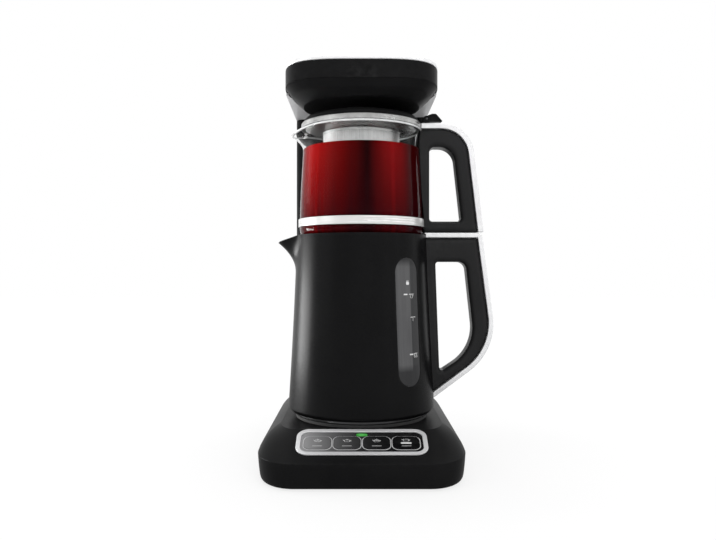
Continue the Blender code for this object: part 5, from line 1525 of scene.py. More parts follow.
def drawn_in(corners: Sequence[Point], distance: float) -> list[Point]:
    """Corners of an anticlockwise outline, drawn in by a distance.

    Args:
        corners: X, Y and radius of each corner.
        distance: How far it is drawn in, or let out where it is negative.

    Returns:
        The new corners.
    """
    places = [Vector(corner[:2]) for corner in corners]
    moved_corners: list[Point] = []
    for index, (x, y, radius) in enumerate(corners):
        into = (places[index] - places[index - 1]).normalized()
        out = (places[(index + 1) % len(places)] - places[index]).normalized()
        left_in, left_out = Vector((-into.y, into.x)), Vector((-out.y, out.x))
        middle = (left_in + left_out).normalized()
        place = places[index] + middle * distance / middle.dot(left_in)
        convex = into.x * out.y - into.y * out.x > 0
        moved_corners.append((place.x, place.y,
            max(radius - distance if convex else radius + distance, 0.0002)))
    return moved_corners


def plump(outline: Sequence[Point], hole: Sequence[Point], width: float, edge: float,
        steps: int) -> Mesh:
    """Bar with fully rounded edges around a hole, lying on its middle plane.

    Args:
        outline: Corners of the outer outline, anticlockwise.
        hole: Corners of the hole, anticlockwise.
        width: Thickness of the bar.
        edge: Radius of its edges.
        steps: Facets of each corner.

    Returns:
        The bar.
    """
    bends = [math.pi / 2 * k / 7 for k in range(8)]
    levels = [(-1, bend) for bend in reversed(bends)] + [(1, bend) for bend in bends]
    sides = []
    for corners, way in ((outline, 1.0), (hole, -1.0)):
        rings: list[Ring] = []
        for side, bend in levels:
            z = side * (width / 2 - edge + edge * math.sin(bend))
            ring = rounded(drawn_in(corners, way * edge * (1 - math.cos(bend))), steps)
            rings.append([(x, y, z) for x, y in ring])
        sides.append(skin(rings))
    work = bmesh.new()
    work.from_mesh(together(*sides))
    open_edges = [line for line in work.edges if line.is_boundary]
    for side in (-1, 1):
        bmesh.ops.triangle_fill(work, use_beauty=True, use_dissolve=False,
            edges=[line for line in open_edges if line.verts[0].co.z * side > 0])
    bmesh.ops.recalc_face_normals(work, faces=work.faces)
    mesh = bpy.data.meshes.new("shape")
    work.to_mesh(mesh)
    work.free()
    return mesh


@dataclass(frozen=True)
class Handle:
    """A D-shaped handle with a bright trim along its back."""

    rim_radius: float
    reach: float
    top: float
    drop: float
    trim: float
    path_shares: tuple[Point, ...]
    hole_shares: tuple[Point, ...]
    width: float = 0.026
    edge: float = 0.0055
    steps: int = 18

    def placed(self, shares: Sequence[Point]) -> list[Point]:
        """Corners of an outline in real sizes."""
        return [(self.rim_radius + out * self.reach, self.top - down * self.drop,
            bend * self.reach) for out, down, bend in shares]

    def beside(self, path: Sequence[Point], distance: float) -> list[Point]:
        """The path that runs at a distance to the right of another.

        Args:
            path: Corners of the open path.
            distance: How far it is from it.

        Returns:
            Corners of the shifted path.
        """
        places = [Vector(corner[:2]) for corner in path]
        runs = [(after - before).normalized() for before, after in zip(places, places[1:])]
        rights = [Vector((run.y, -run.x)) for run in runs]
        shifted: list[Point] = [(*(places[0] + rights[0] * distance), path[0][2])]
        for index in range(1, len(places) - 1):
            middle = (rights[index - 1] + rights[index]).normalized()
            place = places[index] + middle * distance / middle.dot(rights[index])
            shifted.append((*place, max(path[index][2] - distance, 0.00001)))
        level = Vector((-1.0, 0.0))
        last = places[-1] + level * distance / level.dot(rights[-1])
        return [*shifted, (*last, path[-1][2])]

    def upright(self, loops: Sequence[Loop]) -> Mesh:
        """Stand an outline up in the XZ plane."""
        return moved(prism(loops, 0.0, self.width), shift(y=self.width / 2), turn(90, "X"))

    def grip(self, pot: Mesh) -> Mesh:
        """Build the black grip.

        Args:
            pot: What the grip is cut to.

        Returns:
            Its mesh.
        """
        path = self.placed(self.path_shares)
        edge = self.beside(path, self.trim + XY.fit)
        inside = (path[0][0], edge[-1][1], 0.0)
        hole = self.placed(self.hole_shares)
        bar = plump(list(reversed([*edge, inside])), list(reversed(hole)), self.width, self.edge,
            self.steps)
        return cut(moved(bar, turn(90, "X")), pot)

    def strip(self, pot: Mesh) -> Mesh:
        """Build the bright trim.

        Args:
            pot: What the trim is cut to.

        Returns:
            Its mesh.
        """
        path = self.placed(self.path_shares)
        loop = rounded([*path, *reversed(self.beside(path, self.trim))], self.steps)
        return cut(eased(self.upright([loop]), 0.0009, 3, 50.0), pot)


@dataclass
class Kettle:
    """Kettle: wall with its spout, underside, level window, marks and handle."""

    rim_radius: float = 0.0694
    flare: float = 0.0086
    flare_power: float = 1.3
    chamfer: float = 0.0037
    wall: float = 0.0022
    spout_reach: float = 0.020
    spout_dip: float = 0.008
    spout_height: float = 0.040
    spout_half: float = math.radians(24)
    window: tuple[float, float] = (0.030, 0.1286)
    window_middle: float = 0.1481
    window_turn: float = math.radians(40.6)
    window_recess: float = 0.0004
    foot_radius: float = 0.071

    @property
    def height(self) -> float:
        """Height of the wall."""
        return Z.kettle_rim - Z.kettle_base

    def radius(self, z: float) -> float:
        """Outer radius of the wall at a height."""
        share = max(0.0, (Z.kettle_rim - z) / (self.height - self.chamfer))
        return self.rim_radius + self.flare * share ** self.flare_power

    def wall_surface(self) -> Mesh:
        """Grow the wall's outer surface by its rule, in Geometry Nodes.

        Returns:
            The open surface.
        """
        tree = ShapeTree("kettle_wall")
        base = tree.given("Base height", Z.kettle_base)
        height = tree.given("Wall height", self.height)
        chamfer = tree.given("Foot chamfer", self.chamfer)
        rim = tree.given("Rim radius", self.rim_radius)
        flare = tree.given("Flare", self.flare)
        power = tree.given("Flare power", self.flare_power)
        reach = tree.given("Spout reach", self.spout_reach)
        dip = tree.given("Spout dip", self.spout_dip)
        depth = tree.given("Spout height", self.spout_height)
        half = tree.given("Spout half angle", self.spout_half)
        grid = tree.node("GeometryNodeMeshGrid", Size_X=1.0, Size_Y=1.0, Vertices_X=241,
            Vertices_Y=97)
        across, up, flat = tree.split(tree.node("GeometryNodeInputPosition").outputs[0])
        angle = (across + 0.5) * math.tau
        rise = height * (up + 0.5) ** 1.6
        share = ((height - rise) / (height - chamfer)).at_least(0.0)
        flared = rim + flare * share ** power
        round_wall = flared.at_most(rim + flare - chamfer + rise)
        off = (abs(angle - math.pi) / half).at_most(1.0)
        swell = ((off * math.pi).cosine() + 1.0) / 2.0
        climb = (1.0 - (height - rise) / depth).at_least(0.0)
        out = round_wall + reach * swell * climb ** 2.0
        high = base + rise - dip * swell * climb
        place = tree.point(out * angle.cosine(), out * angle.sine(), high)
        set_place = tree.node("GeometryNodeSetPosition", Geometry=grid.outputs["Mesh"],
            Position=place)
        welded = tree.node("GeometryNodeMergeByDistance", Geometry=set_place.outputs[0],
            Distance=0.00001)
        return tree.made(welded.outputs[0], Look.PAINT)

    def shell(self) -> None:
        """Build the wall with its openings for the dock and the window."""
        wall = eased(hollowed(self.wall_surface(), self.wall), 0.0006, 2, 60.0)
        dock = moved(prism([rounded_box(0.0372, 0.078, 0.001)], 0.0559, 0.0681), shift(y=0.078))
        width, height = self.window
        loop = rounded_box(width + XY.fit * 2, height + XY.fit * 2, width / 2 + XY.fit - 0.00001,
            steps=20)
        window = moved(prism([loop], 0.0, 0.025), turn(math.degrees(self.window_turn), "Z"),
            shift(0.0, -0.0594, self.window_middle), turn(90, "X"))
        finished("kettle_wall", cut(wall, dock, window), Look.PAINT, Body.KETTLE, ["kettle_shell"],
            32.0)

    def on_window(self, x: float, z: float, lift: float) -> Point:
        """Where a point of the window's plane lies on the kettle.

        Args:
            x: Distance to the right of the window's middle line.
            z: Its height.
            lift: How far outside the wall it is.

        Returns:
            The point.
        """
        r = self.radius(z) + lift
        out = math.sqrt(r * r - x * x)
        sine, cosine = math.sin(self.window_turn), math.cos(self.window_turn)
        return (out * sine + x * cosine, -out * cosine + x * sine, z)

    def patch(self, loop: Loop, depth: float, lift: float, pitch: float = 0.0025) -> Mesh:
        """Lay a flat outline on the wall as a thin plate.

        Args:
            loop: The outline, across and up from the window's middle.
            depth: Thickness of the plate.
            lift: How far its face is outside the wall.
            pitch: Size of the facets that follow the wall.

        Returns:
            The plate, with a UV map over the window.
        """
        mesh = bpy.data.meshes.new("patch")
        work = bmesh.new()
        work.faces.new([work.verts.new((x, y, 0.0)) for x, y in loop])
        for axis in (0, 1):
            values = [point[axis] for point in loop]
            steps = max(1, math.ceil((max(values) - min(values)) / pitch))
            for step in range(1, steps):
                spot = Vector((0.0, 0.0, 0.0))
                spot[axis] = min(values) + (max(values) - min(values)) * step / steps
                normal = Vector((0.0, 0.0, 0.0))
                normal[axis] = 1.0
                bmesh.ops.bisect_plane(work, geom=[*work.verts, *work.edges, *work.faces],
                    plane_co=spot, plane_no=normal)
        layer = work.loops.layers.uv.new("UVMap")
        for face in work.faces:
            for corner in face.loops:
                corner[layer].uv = (corner.vert.co.x / self.window[0] + 0.5,
                    corner.vert.co.y / self.window[1] + 0.5)
        work.to_mesh(mesh)
        work.free()
        reshaped(mesh, lambda x, y, z: self.on_window(x, self.window_middle + y, lift))
        return hollowed(mesh, depth)

    def level_window(self) -> None:
        """Build the pane with its marks and numbers."""
        width, height = self.window
        pane = self.patch(rounded_box(width, height, width / 2 - 0.00001, steps=20), 0.0016,
            -self.window_recess)
        finished("level_pane", pane, Look.WINDOW, Body.KETTLE, ["level_window"], 60.0)
        lift = -self.window_recess + 0.00006
        marks: list[Mesh] = []
        for z, left, right, label in ((0.1757, 0.0015, 0.0088, "1.7"), (0.1527, 0.0030, 0.0100,
                "1"), (0.1162, 0.0058, 0.0112, "0.5")):
            y = z - self.window_middle
            marks.append(self.patch(rounded_box(right - left, 0.0006, 0.0002,
                ((left + right) / 2, y), 3), 0.00005, lift))
            marks.append(self.number(label, (left + right) / 2, y - 0.0026, lift))
        for x, y in ((-0.0030, 0.0275), (0.0025, -0.0325)):
            marks.append(self.patch(rounded_box(0.0050, 0.0013, 0.0005, (x, y), 4), 0.00005, lift))
        for part in (rounded_box(0.0040, 0.0030, 0.0010, (0.0, 0.0385), 4),
                rounded_box(0.0032, 0.0006, 0.0002, (0.0, 0.0408), 3)):
            marks.append(self.patch(part, 0.00005, lift))
        finished("level_marks", together(*marks), Look.PRINT, Body.KETTLE)

    def number(self, label: str, x: float, y: float, lift: float) -> Mesh:
        """Print a number on the window.

        Args:
            label: The number.
            x: Its middle, across.
            y: Its middle, up from the window's middle.
            lift: How far outside the wall it is.

        Returns:
            Its mesh.
        """
        curve = bpy.data.curves.new("number", "FONT")
        curve.body = label
        curve.size = 0.0044
        curve.align_x = "CENTER"
        curve.align_y = "CENTER"
        curve.extrude = 0.00004
        holder = bpy.data.objects.new("number", curve)
        bpy.context.scene.collection.objects.link(holder)
        graph = bpy.context.evaluated_depsgraph_get()
        mesh = bpy.data.meshes.new_from_object(holder.evaluated_get(graph))
        bpy.data.objects.remove(holder, do_unlink=True)
        return reshaped(mesh, lambda a, b, c: self.on_window(x + a, self.window_middle + y + b,
            lift + c))

    def underside(self) -> None:
        """Build the bottom cap and the foot ring."""
        cap = self.rim_radius + self.flare - self.chamfer - self.wall - XY.fit * 2
        low, high = Z.kettle_base, Z.kettle_base + 0.0023
        finished("kettle_floor", revolved([(0.0, low, 0.0), (cap, low, 0.0004), (cap, high, 0.0),
            (0.0, high, 0.0)]), Look.SATIN, Body.KETTLE, ["kettle_bottom_cap"])
        low, high = Z.kettle_foot, Z.kettle_foot + 0.0029
        inner = self.foot_radius - 0.009
        # The foot ring takes the darkened chrome: painted shade under the kettle.
        finished("kettle_foot", revolved([(inner, low, 0.0006), (self.foot_radius, low, 0.0009),
            (self.foot_radius, high, 0.0003), (inner, high, 0.0)], 160), Look.SHADOW_CHROME,
            Body.KETTLE, ["kettle_foot_ring"])

    def envelope(self) -> Mesh:
        """Solid that the handle is cut to."""
        rows = [Z.kettle_base + self.chamfer + (self.height - self.chamfer) * k / 40 for k in
            range(41)]
        section: list[Point] = [(0.0, 0.03, 0.0), (self.radius(rows[0]) + XY.fit, 0.03, 0.0)]
        section += [(self.radius(z) + XY.fit, z, 0.0) for z in rows]
        section += [(self.rim_radius + XY.fit, 0.26, 0.0), (0.0, 0.26, 0.0)]
        return revolved(section, 180)

    def build(self) -> None:
        """Build and dress the whole kettle."""
        self.shell()
        self.level_window()
        self.underside()
        handle = Handle(self.rim_radius, 0.0751, Z.kettle_grip, self.height, 0.005,
            ((-0.3, 0.0, 0.0), (0.78, 0.0, 0.08), (1.0, 0.671, 0.85), (-0.1, 1.002, 0.0)),
            ((0.128, 0.166, 0.04), (0.554, 0.166, 0.12), (0.687, 0.664, 0.60),
            (0.185, 0.80, 0.04)))
        finished("kettle_grip", handle.grip(self.envelope()), Look.GRIP_SHEEN, Body.KETTLE,
            ["kettle_handle"])
        finished("kettle_grip_trim", handle.strip(self.envelope()), Look.TRIM, Body.KETTLE,
            ["kettle_handle_trim"])


@dataclass
class Teapot:
    """Glass teapot: glass, tea, steel band, perforated infuser, handle and hinge."""

    height: float = 0.117
    wall: float = 0.0022
    spout_reach: float = 0.0117
    spout_dip: float = 0.006
    spout_height: float = 0.024
    spout_half: float = math.radians(42)
    tea_level: float = 0.329
    tea_gap: float = -0.0004
    band_lift: float = 0.0125
    band_height: float = 0.0085
    band: float = 0.0012
    belly: float = 0.066
    rim_radius: float = 0.0647
    infuser_radius: float = 0.041
    infuser_depth: float = 0.082
    infuser_wall: float = 0.0008
    flange_radius: float = 0.0644
    mouth_radius: float = 0.0594
    hole_pitch: float = 0.0032
    profile: tuple[tuple[float, float], ...] = ((0.0600, 0.0), (0.0649, 0.045), (0.0660, 0.10),
        (0.0660, 0.30), (0.06254, 0.80), (0.0622, 0.87), (0.0631, 0.94), (0.0647, 1.0))
    columns: int = 168

    def outer(self, share: float) -> float:
        """Radius of the glass at a share of its height, on a smooth curve.

        Args:
            share: Share of the height, from 0 at the foot.

        Returns:
            The radius.
        """
        rows = [(r, s) for r, s in self.profile if s != 0.30]
        for index, ((low_r, low), (high_r, high)) in enumerate(zip(rows, rows[1:])):
            if share <= high or index == len(rows) - 2:
                before = rows[index - 1] if index else (low_r - 0.012, low - 0.02)
                after = rows[index + 2] if index + 2 < len(rows) else (high_r + 0.0016,
                    high + 0.06)
                along = (share - low) / (high - low)
                start = (high_r - before[0]) / (high - before[1]) * (high - low)
                end = (after[0] - low_r) / (after[1] - low) * (high - low)
                if index == 1:
                    end = 0.0
                if index == 2:
                    start, end = 0.0, (high_r - low_r) * 1.2
                cube, square = along ** 3, along ** 2
                return ((2 * cube - 3 * square + 1) * low_r + (cube - 2 * square + along) * start +
                    (3 * square - 2 * cube) * high_r + (cube - square) * end)
        return rows[-1][0]

    def ring(self, radius: float, z: float) -> Ring:
        """A ring of the glass, drawn out into the spout near the rim.

        Args:
            radius: Its radius away from the spout.
            z: Its height.

        Returns:
            The ring.
        """
        climb = max(0.0, 1 - (Z.teapot_rim - z) / self.spout_height)
        ring: Ring = []
        for column in range(self.columns):
            angle = math.tau * column / self.columns
            off = min(1.0, abs(angle - math.pi) / self.spout_half)
            swell = (1 + math.cos(math.pi * off)) / 2
            out = radius + self.spout_reach * swell * climb ** 2
            ring.append((out * math.cos(angle), out * math.sin(angle),
                z - self.spout_dip * swell * climb))
        return ring

    def glass(self) -> None:
        """Build the glass with a rounded rim and floor, and a pale ring on the rim as a painted
        highlight.
        """
        shares = [k / 60 for k in range(61)]
        rows = [(self.outer(share), Z.teapot_base + self.height * share) for share in shares]
        rings = [self.ring(rows[0][0] - 0.0012, Z.teapot_base), self.ring(rows[0][0] - 0.0003,
            Z.teapot_base + 0.0003)]
        rings += [self.ring(r, z) for r, z in rows[1:-1]]
        middle, half = self.rim_radius - self.wall / 2, self.wall / 2
        for step in range(9):
            angle = math.pi * step / 8
            rings.append(self.ring(middle + half * math.cos(angle),
                Z.teapot_rim - half + half * math.sin(angle)))
        low = Z.teapot_base + self.wall
        for r, z in reversed(rows[1:-1]):
            if z > low + 0.004:
                rings.append(self.ring(r - self.wall, z))
        inner = rows[2][0] - self.wall
        rings += [self.ring(inner - 0.0006, low + 0.0022), self.ring(inner - 0.0022, low + 0.0007),
            self.ring(inner - 0.0045, low)]
        finished("pot_glass", skin(rings, capped=True), Look.GLASS, Body.TEAPOT, ["teapot_glass"],
            60.0)
        # Painted highlight: a pale ring just outside the glass rim.
        highlight_rings = [self.ring(middle + (half + 0.00005) * math.cos(math.tau * k / 12),
            Z.teapot_rim - half + (half - 0.00005) * math.sin(math.tau * k / 12)) for k in
            range(12)]
        finished("pot_glass_bead", skin(highlight_rings, wrap=True), Look.RIM_HIGHLIGHT, Body.TEAPOT, crease=60.0)

    def tea(self) -> None:
        """Build the tea with its curled edge at the glass."""
        low = Z.teapot_base + self.wall + 0.0002
        count = 44
        lap = self.wall + self.tea_gap
        rings: list[Ring] = [self.ring(self.outer(0.03) - lap - 0.0030, low)]
        for step in range(count + 1):
            z = low + 0.002 + (self.tea_level - low - 0.002) * step / count
            rings.append(self.ring(self.outer((z - Z.teapot_base) / self.height) - lap, z))
        edge = self.outer((self.tea_level - Z.teapot_base) / self.height) - lap
        for drop, inset in ((0.0002, 0.0005), (0.0007, 0.0014), (0.0010, 0.0030)):
            rings.append(self.ring(edge - inset, self.tea_level - drop))
        finished("tea", skin(rings, capped=True), Look.TEA, Body.TEAPOT, crease=60.0)

    def steel_band(self) -> None:
        """Build the band around the glass."""
        low = Z.teapot_base + self.band_lift
        high, inner = low + self.band_height, self.belly + XY.fit
        section = [(inner, low, 0.0), (inner + self.band, low, 0.0005), (inner + self.band, high,
            0.0005), (inner, high, 0.0)]
        finished("pot_band", revolved(section, 180, 4), Look.BAND, Body.TEAPOT, ["teapot_band"])

    def perforated_wall(self, low: float, rows: int) -> Mesh:
        """Grow the sieve of the infuser from one cell, in Geometry Nodes.

        Args:
            low: Height of its lower edge.
            rows: Rows of holes.

        Returns:
            The sieve.
        """
        around = round(math.tau * self.infuser_radius / self.hole_pitch)
        pitch = math.tau * self.infuser_radius / around
        cell = bpy.data.objects.new("cell", self.cell(pitch))
        bpy.context.scene.collection.objects.link(cell)
        tree = ShapeTree("infuser_sieve")
        wide = tree.given("Pitch around", pitch)
        tall = tree.given("Pitch up", self.hole_pitch)
        radius = tree.given("Radius", self.infuser_radius)
        base = tree.given("Lower edge", low)
        pick = tree.node("GeometryNodeObjectInfo", Object=tree.given("Cell", cell, "Object"))
        grid = tree.node("GeometryNodeMeshGrid", Size_X=wide * float(around - 1),
            Size_Y=tall * float(rows - 1), Vertices_X=around, Vertices_Y=rows)
        points = tree.node("GeometryNodeMeshToPoints", Mesh=grid.outputs["Mesh"])
        laid = tree.node("GeometryNodeInstanceOnPoints", Points=points.outputs[0],
            Instance=pick.outputs["Geometry"])
        real = tree.node("GeometryNodeRealizeInstances", Geometry=laid.outputs[0])
        x, y, z = tree.split(tree.node("GeometryNodeInputPosition").outputs[0])
        angle, out = x / radius, radius + z
        place = tree.point(out * angle.cosine(), out * angle.sine(), base + y + tall * (rows / 2))
        bent = tree.node("GeometryNodeSetPosition", Geometry=real.outputs[0], Position=place)
        welded = tree.node("GeometryNodeMergeByDistance", Geometry=bent.outputs[0],
            Distance=0.00002)
        mesh = tree.made(welded.outputs[0], Look.STEEL_UPRIGHT)
        bpy.data.objects.remove(cell, do_unlink=True)
        return mesh

    def cell(self, pitch: float) -> Mesh:
        """One square of sheet steel with a round hole.

        Args:
            pitch: Width of the square.

        Returns:
            The cell, with its outer face at height 0.
        """
        wide, tall, hole = pitch / 2, self.hole_pitch / 2, self.hole_pitch * 0.28
        square = [(wide, 0.0), (wide, tall), (0.0, tall), (-wide, tall), (-wide, 0.0),
            (-wide, -tall), (0.0, -tall), (wide, -tall)]
        opening = [(hole * math.cos(math.tau * k / 8), hole * math.sin(math.tau * k / 8)) for k in
            range(8)]
        points = [(x, y, z) for z in (0.0, -self.infuser_wall) for x, y in (*square, *opening)]
        faces = []
        for k in range(8):
            after = (k + 1) % 8
            faces.append((k, after, 8 + after, 8 + k))
            faces.append((16 + after, 16 + k, 24 + k, 24 + after))
            faces.append((8 + k, 8 + after, 24 + after, 24 + k))
        mesh = bpy.data.meshes.new("cell")
        mesh.from_pydata(points, [], faces)
        return mesh

    def infuser(self) -> None:
        """Build the basket: flange, shoulder, plain wall, sieve and floor."""
        wall, radius = self.infuser_wall, self.infuser_radius
        floor = Z.teapot_rim - self.infuser_depth
        shoulder = Z.teapot_rim - 0.0035
        rows = 13
        low = floor + 0.005
        high = low + rows * self.hole_pitch
        flange, top, mouth = self.flange_radius, Z.infuser_top, self.mouth_radius
        neck, rim = shoulder - 0.003, Z.teapot_rim
        collar = revolved([(flange, rim + XY.fit, 0.0), (flange, top, 0.0012),
            (mouth - wall, top, 0.0006), (mouth - wall, rim - 0.0004, 0.001),
            (radius, shoulder - 0.0004, 0.002), (radius - wall, neck, 0.0), (radius, neck, 0.0),
            (radius + 0.0006, shoulder, 0.0006), (mouth, rim, 0.001), (mouth, top - wall, 0.0004),
            (flange - wall, top - wall, 0.0004), (flange - wall, rim + XY.fit, 0.0)], 160)
        finished("infuser_rim", collar, Look.STEEL_AROUND, Body.TEAPOT)
        tube = revolved([(radius, high, 0.0), (radius, neck - 0.0001, 0.0),
            (radius - wall, neck - 0.0001, 0.0), (radius - wall, high, 0.0)], 160)
        lower = revolved([(radius, low, 0.0), (radius, floor, 0.0022), (0.0, floor, 0.0),
            (0.0, floor + wall, 0.0), (radius - wall, floor + wall, 0.0014),
            (radius - wall, low, 0.0)], 160)
        basket = together(tube, self.perforated_wall(low, rows), lower)
        finished("infuser", basket, Look.STEEL_UPRIGHT, Body.TEAPOT, ["infuser_basket"])

    def envelope(self) -> Mesh:
        """Solid that the handle is cut to."""
        band = self.belly + XY.fit + self.band + XY.fit
        top = Z.teapot_base + self.band_lift + self.band_height + XY.fit
        section: list[Point] = [(0.0, Z.teapot_base, 0.0), (band, Z.teapot_base, 0.0),
            (band, top, 0.0)]
        for step in range(24, 61):
            z = Z.teapot_base + self.height * step / 60
            if z > top + 0.001:
                section.append((self.outer(step / 60) + XY.fit, z, 0.0))
        section += [(self.rim_radius + XY.fit, 0.3638, 0.0), (0.0, 0.3638, 0.0)]
        return revolved(section, 180)

    def hinge(self) -> None:
        """Build the bracket and the pin of the lid's hinge."""
        x, low = XY.hinge, Z.teapot_grip + XY.fit
        foot = moved(prism([rounded_box(0.0065, 0.0226, 0.0008)], low, low + 0.0012),
            shift(x - 0.00025))
        ears = []
        for side in (-1, 1):
            ear = rounded([(-0.0035, 0.0, 0.0), (0.003, 0.0, 0.0), (0.003, Z.hinge + 0.003 - low,
                0.0028), (-0.0035, Z.hinge + 0.003 - low, 0.0028)], 6)
            bore = [(0.0015 * math.cos(math.tau * k / 24),
                Z.hinge - low + 0.0015 * math.sin(math.tau * k / 24)) for k in range(24)]
            plate = moved(prism([ear, bore], -0.0015, 0.0015), shift(x, side * 0.0098, low),
                turn(90, "X"))
            ears.append(eased(plate, 0.0003, 2, 60.0))
        finished("lid_bracket", together(eased(foot, 0.0003, 2, 60.0), *ears), Look.SATIN,
            Body.TEAPOT, ["hinge_bracket"])
        pin = revolved([(0.0, -0.0113, 0.0), (0.0012, -0.0113, 0.0003), (0.0012, 0.0113, 0.0003),
            (0.0, 0.0113, 0.0)], 32, 3)
        finished("lid_pin", moved(pin, shift(x, 0.0, Z.hinge), turn(90, "X")), Look.SHADOW_CHROME,
            Body.TEAPOT, ["hinge_pin"], slot=Slot.STEEL)

    def build(self) -> None:
        """Build and dress the whole teapot."""
        self.glass()
        self.tea()
        self.steel_band()
        self.infuser()
        handle = Handle(self.rim_radius, 0.0651, Z.teapot_grip, Z.teapot_grip - Z.teapot_grip_base,
            0.0058, ((-0.1, 0.0, 0.0), (0.788, 0.0, 0.54), (1.0, 1.0, 0.0)), ((0.120, 0.216, 0.09),
            (0.511, 0.216, 0.26), (0.645, 0.90, 0.06), (0.120, 0.90, 0.05)))
        finished("teapot_grip", handle.grip(self.envelope()), Look.GRIP_SHEEN, Body.TEAPOT,
            ["teapot_handle"])
        finished("teapot_grip_trim", handle.strip(self.envelope()), Look.TRIM, Body.TEAPOT,
            ["teapot_handle_trim"])
        self.hinge()


@dataclass
class Lid:
    """Lid with its water inlet, seal and thumb lever."""

    radius: float = 0.0615
    inlet: float = 0.012
    dish: float = 0.0022
    dish_radius: float = 0.020
    seal_radius: float = 0.0576
    lever_width: float = 0.016
    lever_crest: float = 0.0058
    lever_tail: float = 0.017
    lever_skin: float = 0.001

    def build(self) -> None:
        """Build and dress the whole lid."""
        r, low, top = self.radius, Z.lid_base, Z.lid_top
        section = [(self.inlet, low, 0.0004), (r, low, 0.0006), (r, top - 0.0025, 0.0010),
            (r - 0.0025, top, 0.0012), (self.dish_radius, top, 0.0008),
            (self.dish_radius - self.dish * 2, top - self.dish, 0.0012),
            (self.inlet, top - self.dish, 0.0005)]
        finished("lid_body", revolved(section, 180, 5), Look.SATIN, Body.LID, ["lid_cap"])
        ring = [(self.seal_radius - 0.0025, low - XY.fit, 0.0), (self.seal_radius, low - XY.fit,
            0.0), (self.seal_radius, low - XY.fit - 0.0028, 0.0011), (self.seal_radius - 0.0025,
            low - XY.fit - 0.0028, 0.0011)]
        finished("lid_seal_ring", revolved(ring, 160, 4), Look.SEAL, Body.LID, ["lid_seal"])
        under = Z.teapot_grip + XY.fit + 0.0012 + 0.0006 - Z.hinge
        lap, edge = r - 0.0135 - XY.hinge, r + XY.fit * 3 - XY.hinge
        on_lid, tail, bend = top - Z.hinge + XY.fit, self.lever_tail, self.lever_skin
        corners = [(lap, on_lid, 0.0), (edge, on_lid, 0.0), (edge, under, 0.0),
            (tail - bend, under, 0.0002), (tail, under + bend, 0.0002),
            (tail * 0.6, self.lever_crest, 0.0022), (tail * 0.35, self.lever_crest, 0.0022),
            (edge / 2, on_lid + bend, 0.0015), (lap, on_lid + bend, 0.0)]
        width = self.lever_width
        lever = moved(prism([rounded(corners, 8)], 0.0, width), shift(XY.hinge, width / 2,
            Z.hinge), turn(90, "X"))
        bore = moved(revolved([(0.0, -0.02, 0.0), (0.0015, -0.02, 0.0), (0.0015, 0.02, 0.0),
            (0.0, 0.02, 0.0)], 32), shift(XY.hinge, 0.0, Z.hinge), turn(90, "X"))
        finished("thumb_lever", cut(eased(lever, 0.0004, 2, 60.0), bore), Look.GLOSS, Body.LID,
            ["lid_lever"])


@dataclass
class InnerWorks:
    """CAD nodes that keep their own shape and get a finish here."""


    def build(self) -> None:
        """Dress the nodes."""
        table = {"control_board": Look.BOARD.material(), "power_board": Look.BOARD.material(),
            "water_pump": Look.SATIN.material(), "pump_inlet_hose": Look.HOSE.material(),
            "riser_hose": Look.HOSE.material(), "dock_nozzle": Look.STEEL_AROUND.material(),
            "spray_head": Look.SATIN.material(), "kettle_socket": Look.SATIN.material(),
            "heater_plate": Look.STEEL_AROUND.material(),
            "outlet_pipe": Look.STEEL_AROUND.material(),
            "kettle_liner": Look.STEEL_AROUND.material(),
            "kettle_collar": Look.STEEL_AROUND.material()}
        for name, look in table.items():
            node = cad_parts[name]
            for slot in node.material_slots:
                slot.material = look
            LOG.info("%s: dressed", name)


# Scene


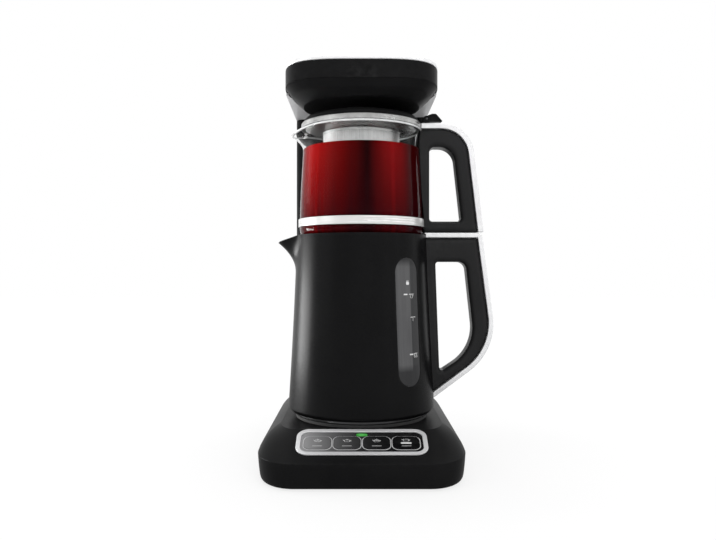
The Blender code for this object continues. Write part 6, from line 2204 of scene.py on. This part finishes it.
@dataclass
class Studio:
    """Pale floor, soft lights and the camera."""

    floor: float = 8.0
    fill: float = 0.45
    near_mirrored: float = 0.45
    camera_place: Point = (-0.0242175, -0.7719, 0.200)
    lens: float = 35.2

    def build(self) -> None:
        """Make the world, the floor, the lights and the camera."""
        scene = bpy.context.scene
        scene.view_settings.view_transform = "Standard"
        world = bpy.data.worlds.new("studio")
        scene.world = world
        world.use_nodes = True
        make = Nodes(world.node_tree)
        plain = world.node_tree.nodes["Background"]
        plain.inputs["Color"].default_value = (1.0, 1.0, 1.0, 1.0)
        ray = make.node("LightPath")
        seen = make.math("MAXIMUM", ray.outputs["Is Camera Ray"],
            ray.outputs["Is Transmission Ray"])
        seen = make.math("MAXIMUM", seen, ray.outputs["Is Glossy Ray"])
        make.feed(plain.inputs["Strength"], make.node("MapRange", Value=seen, To_Min=self.fill,
            To_Max=1.0).outputs[0])
        self.lay_floor()
        self.hang_lights()
        self.set_camera()

    def lay_floor(self) -> None:
        """Make the floor, white to the camera and with the object's shadow."""
        half = self.floor / 2
        mesh = bpy.data.meshes.new("floor")
        mesh.from_pydata([(-half, -half, 0.0), (half, -half, 0.0), (half, half, 0.0),
            (-half, half, 0.0)], [], [(0, 1, 2, 3)])
        look = bpy.data.materials.new("pale_floor")
        look.use_nodes = True
        make = Nodes(look.node_tree)
        look.node_tree.nodes.remove(look.node_tree.nodes["Principled BSDF"])
        place = make.node("TexCoord").outputs["Object"]
        away = make.node("VectorMath", {"operation": "LENGTH"})
        make.feed(away.inputs[0], place)
        share = make.node("MapRange", Value=away.outputs["Value"], From_Min=0.22, From_Max=0.60,
            To_Min=0.74, To_Max=1.0).outputs[0]
        ray = make.node("LightPath")
        seen = make.math("MAXIMUM", ray.outputs["Is Camera Ray"],
            ray.outputs["Is Transmission Ray"])
        matt = make.node("BsdfDiffuse", Color=(0.85, 0.85, 0.85, 1.0))
        glow = make.node("Emission")
        dim = make.node("MapRange", Value=away.outputs["Value"], From_Min=0.3, From_Max=1.2,
            To_Min=self.near_mirrored, To_Max=1.0).outputs[0]
        make.feed(glow.inputs["Strength"], make.node("MapRange", Value=seen, To_Min=dim,
            To_Max=1.02).outputs[0])
        mix = make.node("MixShader")
        make.feed(mix.inputs[0], make.math("MAXIMUM", ray.outputs["Is Glossy Ray"],
            make.math("MULTIPLY", seen, share)))
        make.feed(mix.inputs[1], matt.outputs[0])
        make.feed(mix.inputs[2], glow.outputs[0])
        make.feed(look.node_tree.nodes["Material Output"].inputs["Surface"], mix.outputs[0])
        mesh.materials.append(look)
        floor = bpy.data.objects.new("floor", mesh)
        bpy.context.scene.collection.objects.link(floor)

    def hang_lights(self) -> None:
        """Hang the soft lights, by their turn from the front, distance, height, size and power."""
        for name, turned, away, height, size, power, mirrored in (("left_low", -106, 1.2, 0.08,
                (0.60, 0.34), 14.0, True), ("left_high", -115, 1.2, 0.66, (0.34, 0.50), 0.5, True),
                ("left_soft", -62, 1.4, 0.66, (0.60, 1.0), 1.6, True), ("right_strip", 102, 1.2,
                0.50, (0.22, 1.2), 0.3, True), ("thin_strip_1", 42, 1.3, 0.45, (0.03, 1.1), 0.45,
                True), ("thin_strip_2", 62, 1.3, 0.45, (0.03, 1.1), 0.45, True),
                ("top", 180, 0.1, 1.55, (1.3, 1.1), 11.0, True), ("front", 10, 2.1, 1.2,
                (1.4, 1.0), 24.0, False), ("back", 180, 1.6, 0.9, (1.6, 1.0), 9.0, False)):
            lamp = bpy.data.lights.new(name, "AREA")
            lamp.shape = "RECTANGLE"
            lamp.size, lamp.size_y = size
            lamp.energy = power
            light = bpy.data.objects.new(name, lamp)
            way = math.radians(turned)
            place = Vector((away * math.sin(way), -away * math.cos(way), height))
            light.location = place
            light.rotation_euler = (Vector((0.0, 0.0, 0.2)) - place).to_track_quat("-Z",
                "Y").to_euler()
            light.visible_glossy = mirrored
            light.visible_transmission = False
            bpy.context.scene.collection.objects.link(light)

    def set_camera(self) -> None:
        """Stand the camera where the photograph was taken from."""
        data = bpy.data.cameras.new("camera")
        data.lens = self.lens
        data.sensor_width = 36.0
        data.clip_start = 0.01
        camera = bpy.data.objects.new("camera", data)
        camera.location = self.camera_place
        camera.rotation_euler = (math.radians(90), 0.0, 0.0)
        bpy.context.scene.collection.objects.link(camera)
        bpy.context.scene.camera = camera


def main() -> None:
    """Build every sub-assembly in order."""
    logging.basicConfig(level=logging.INFO, format="%(message)s")
    Studio().build()
    panel = ControlPanel()
    BaseUnit().build(panel)
    panel.build()
    Column().build()
    Head().build()
    Kettle().build()
    Teapot().build()
    Lid().build()
    InnerWorks().build()


if __name__ == "__main__":
    main()
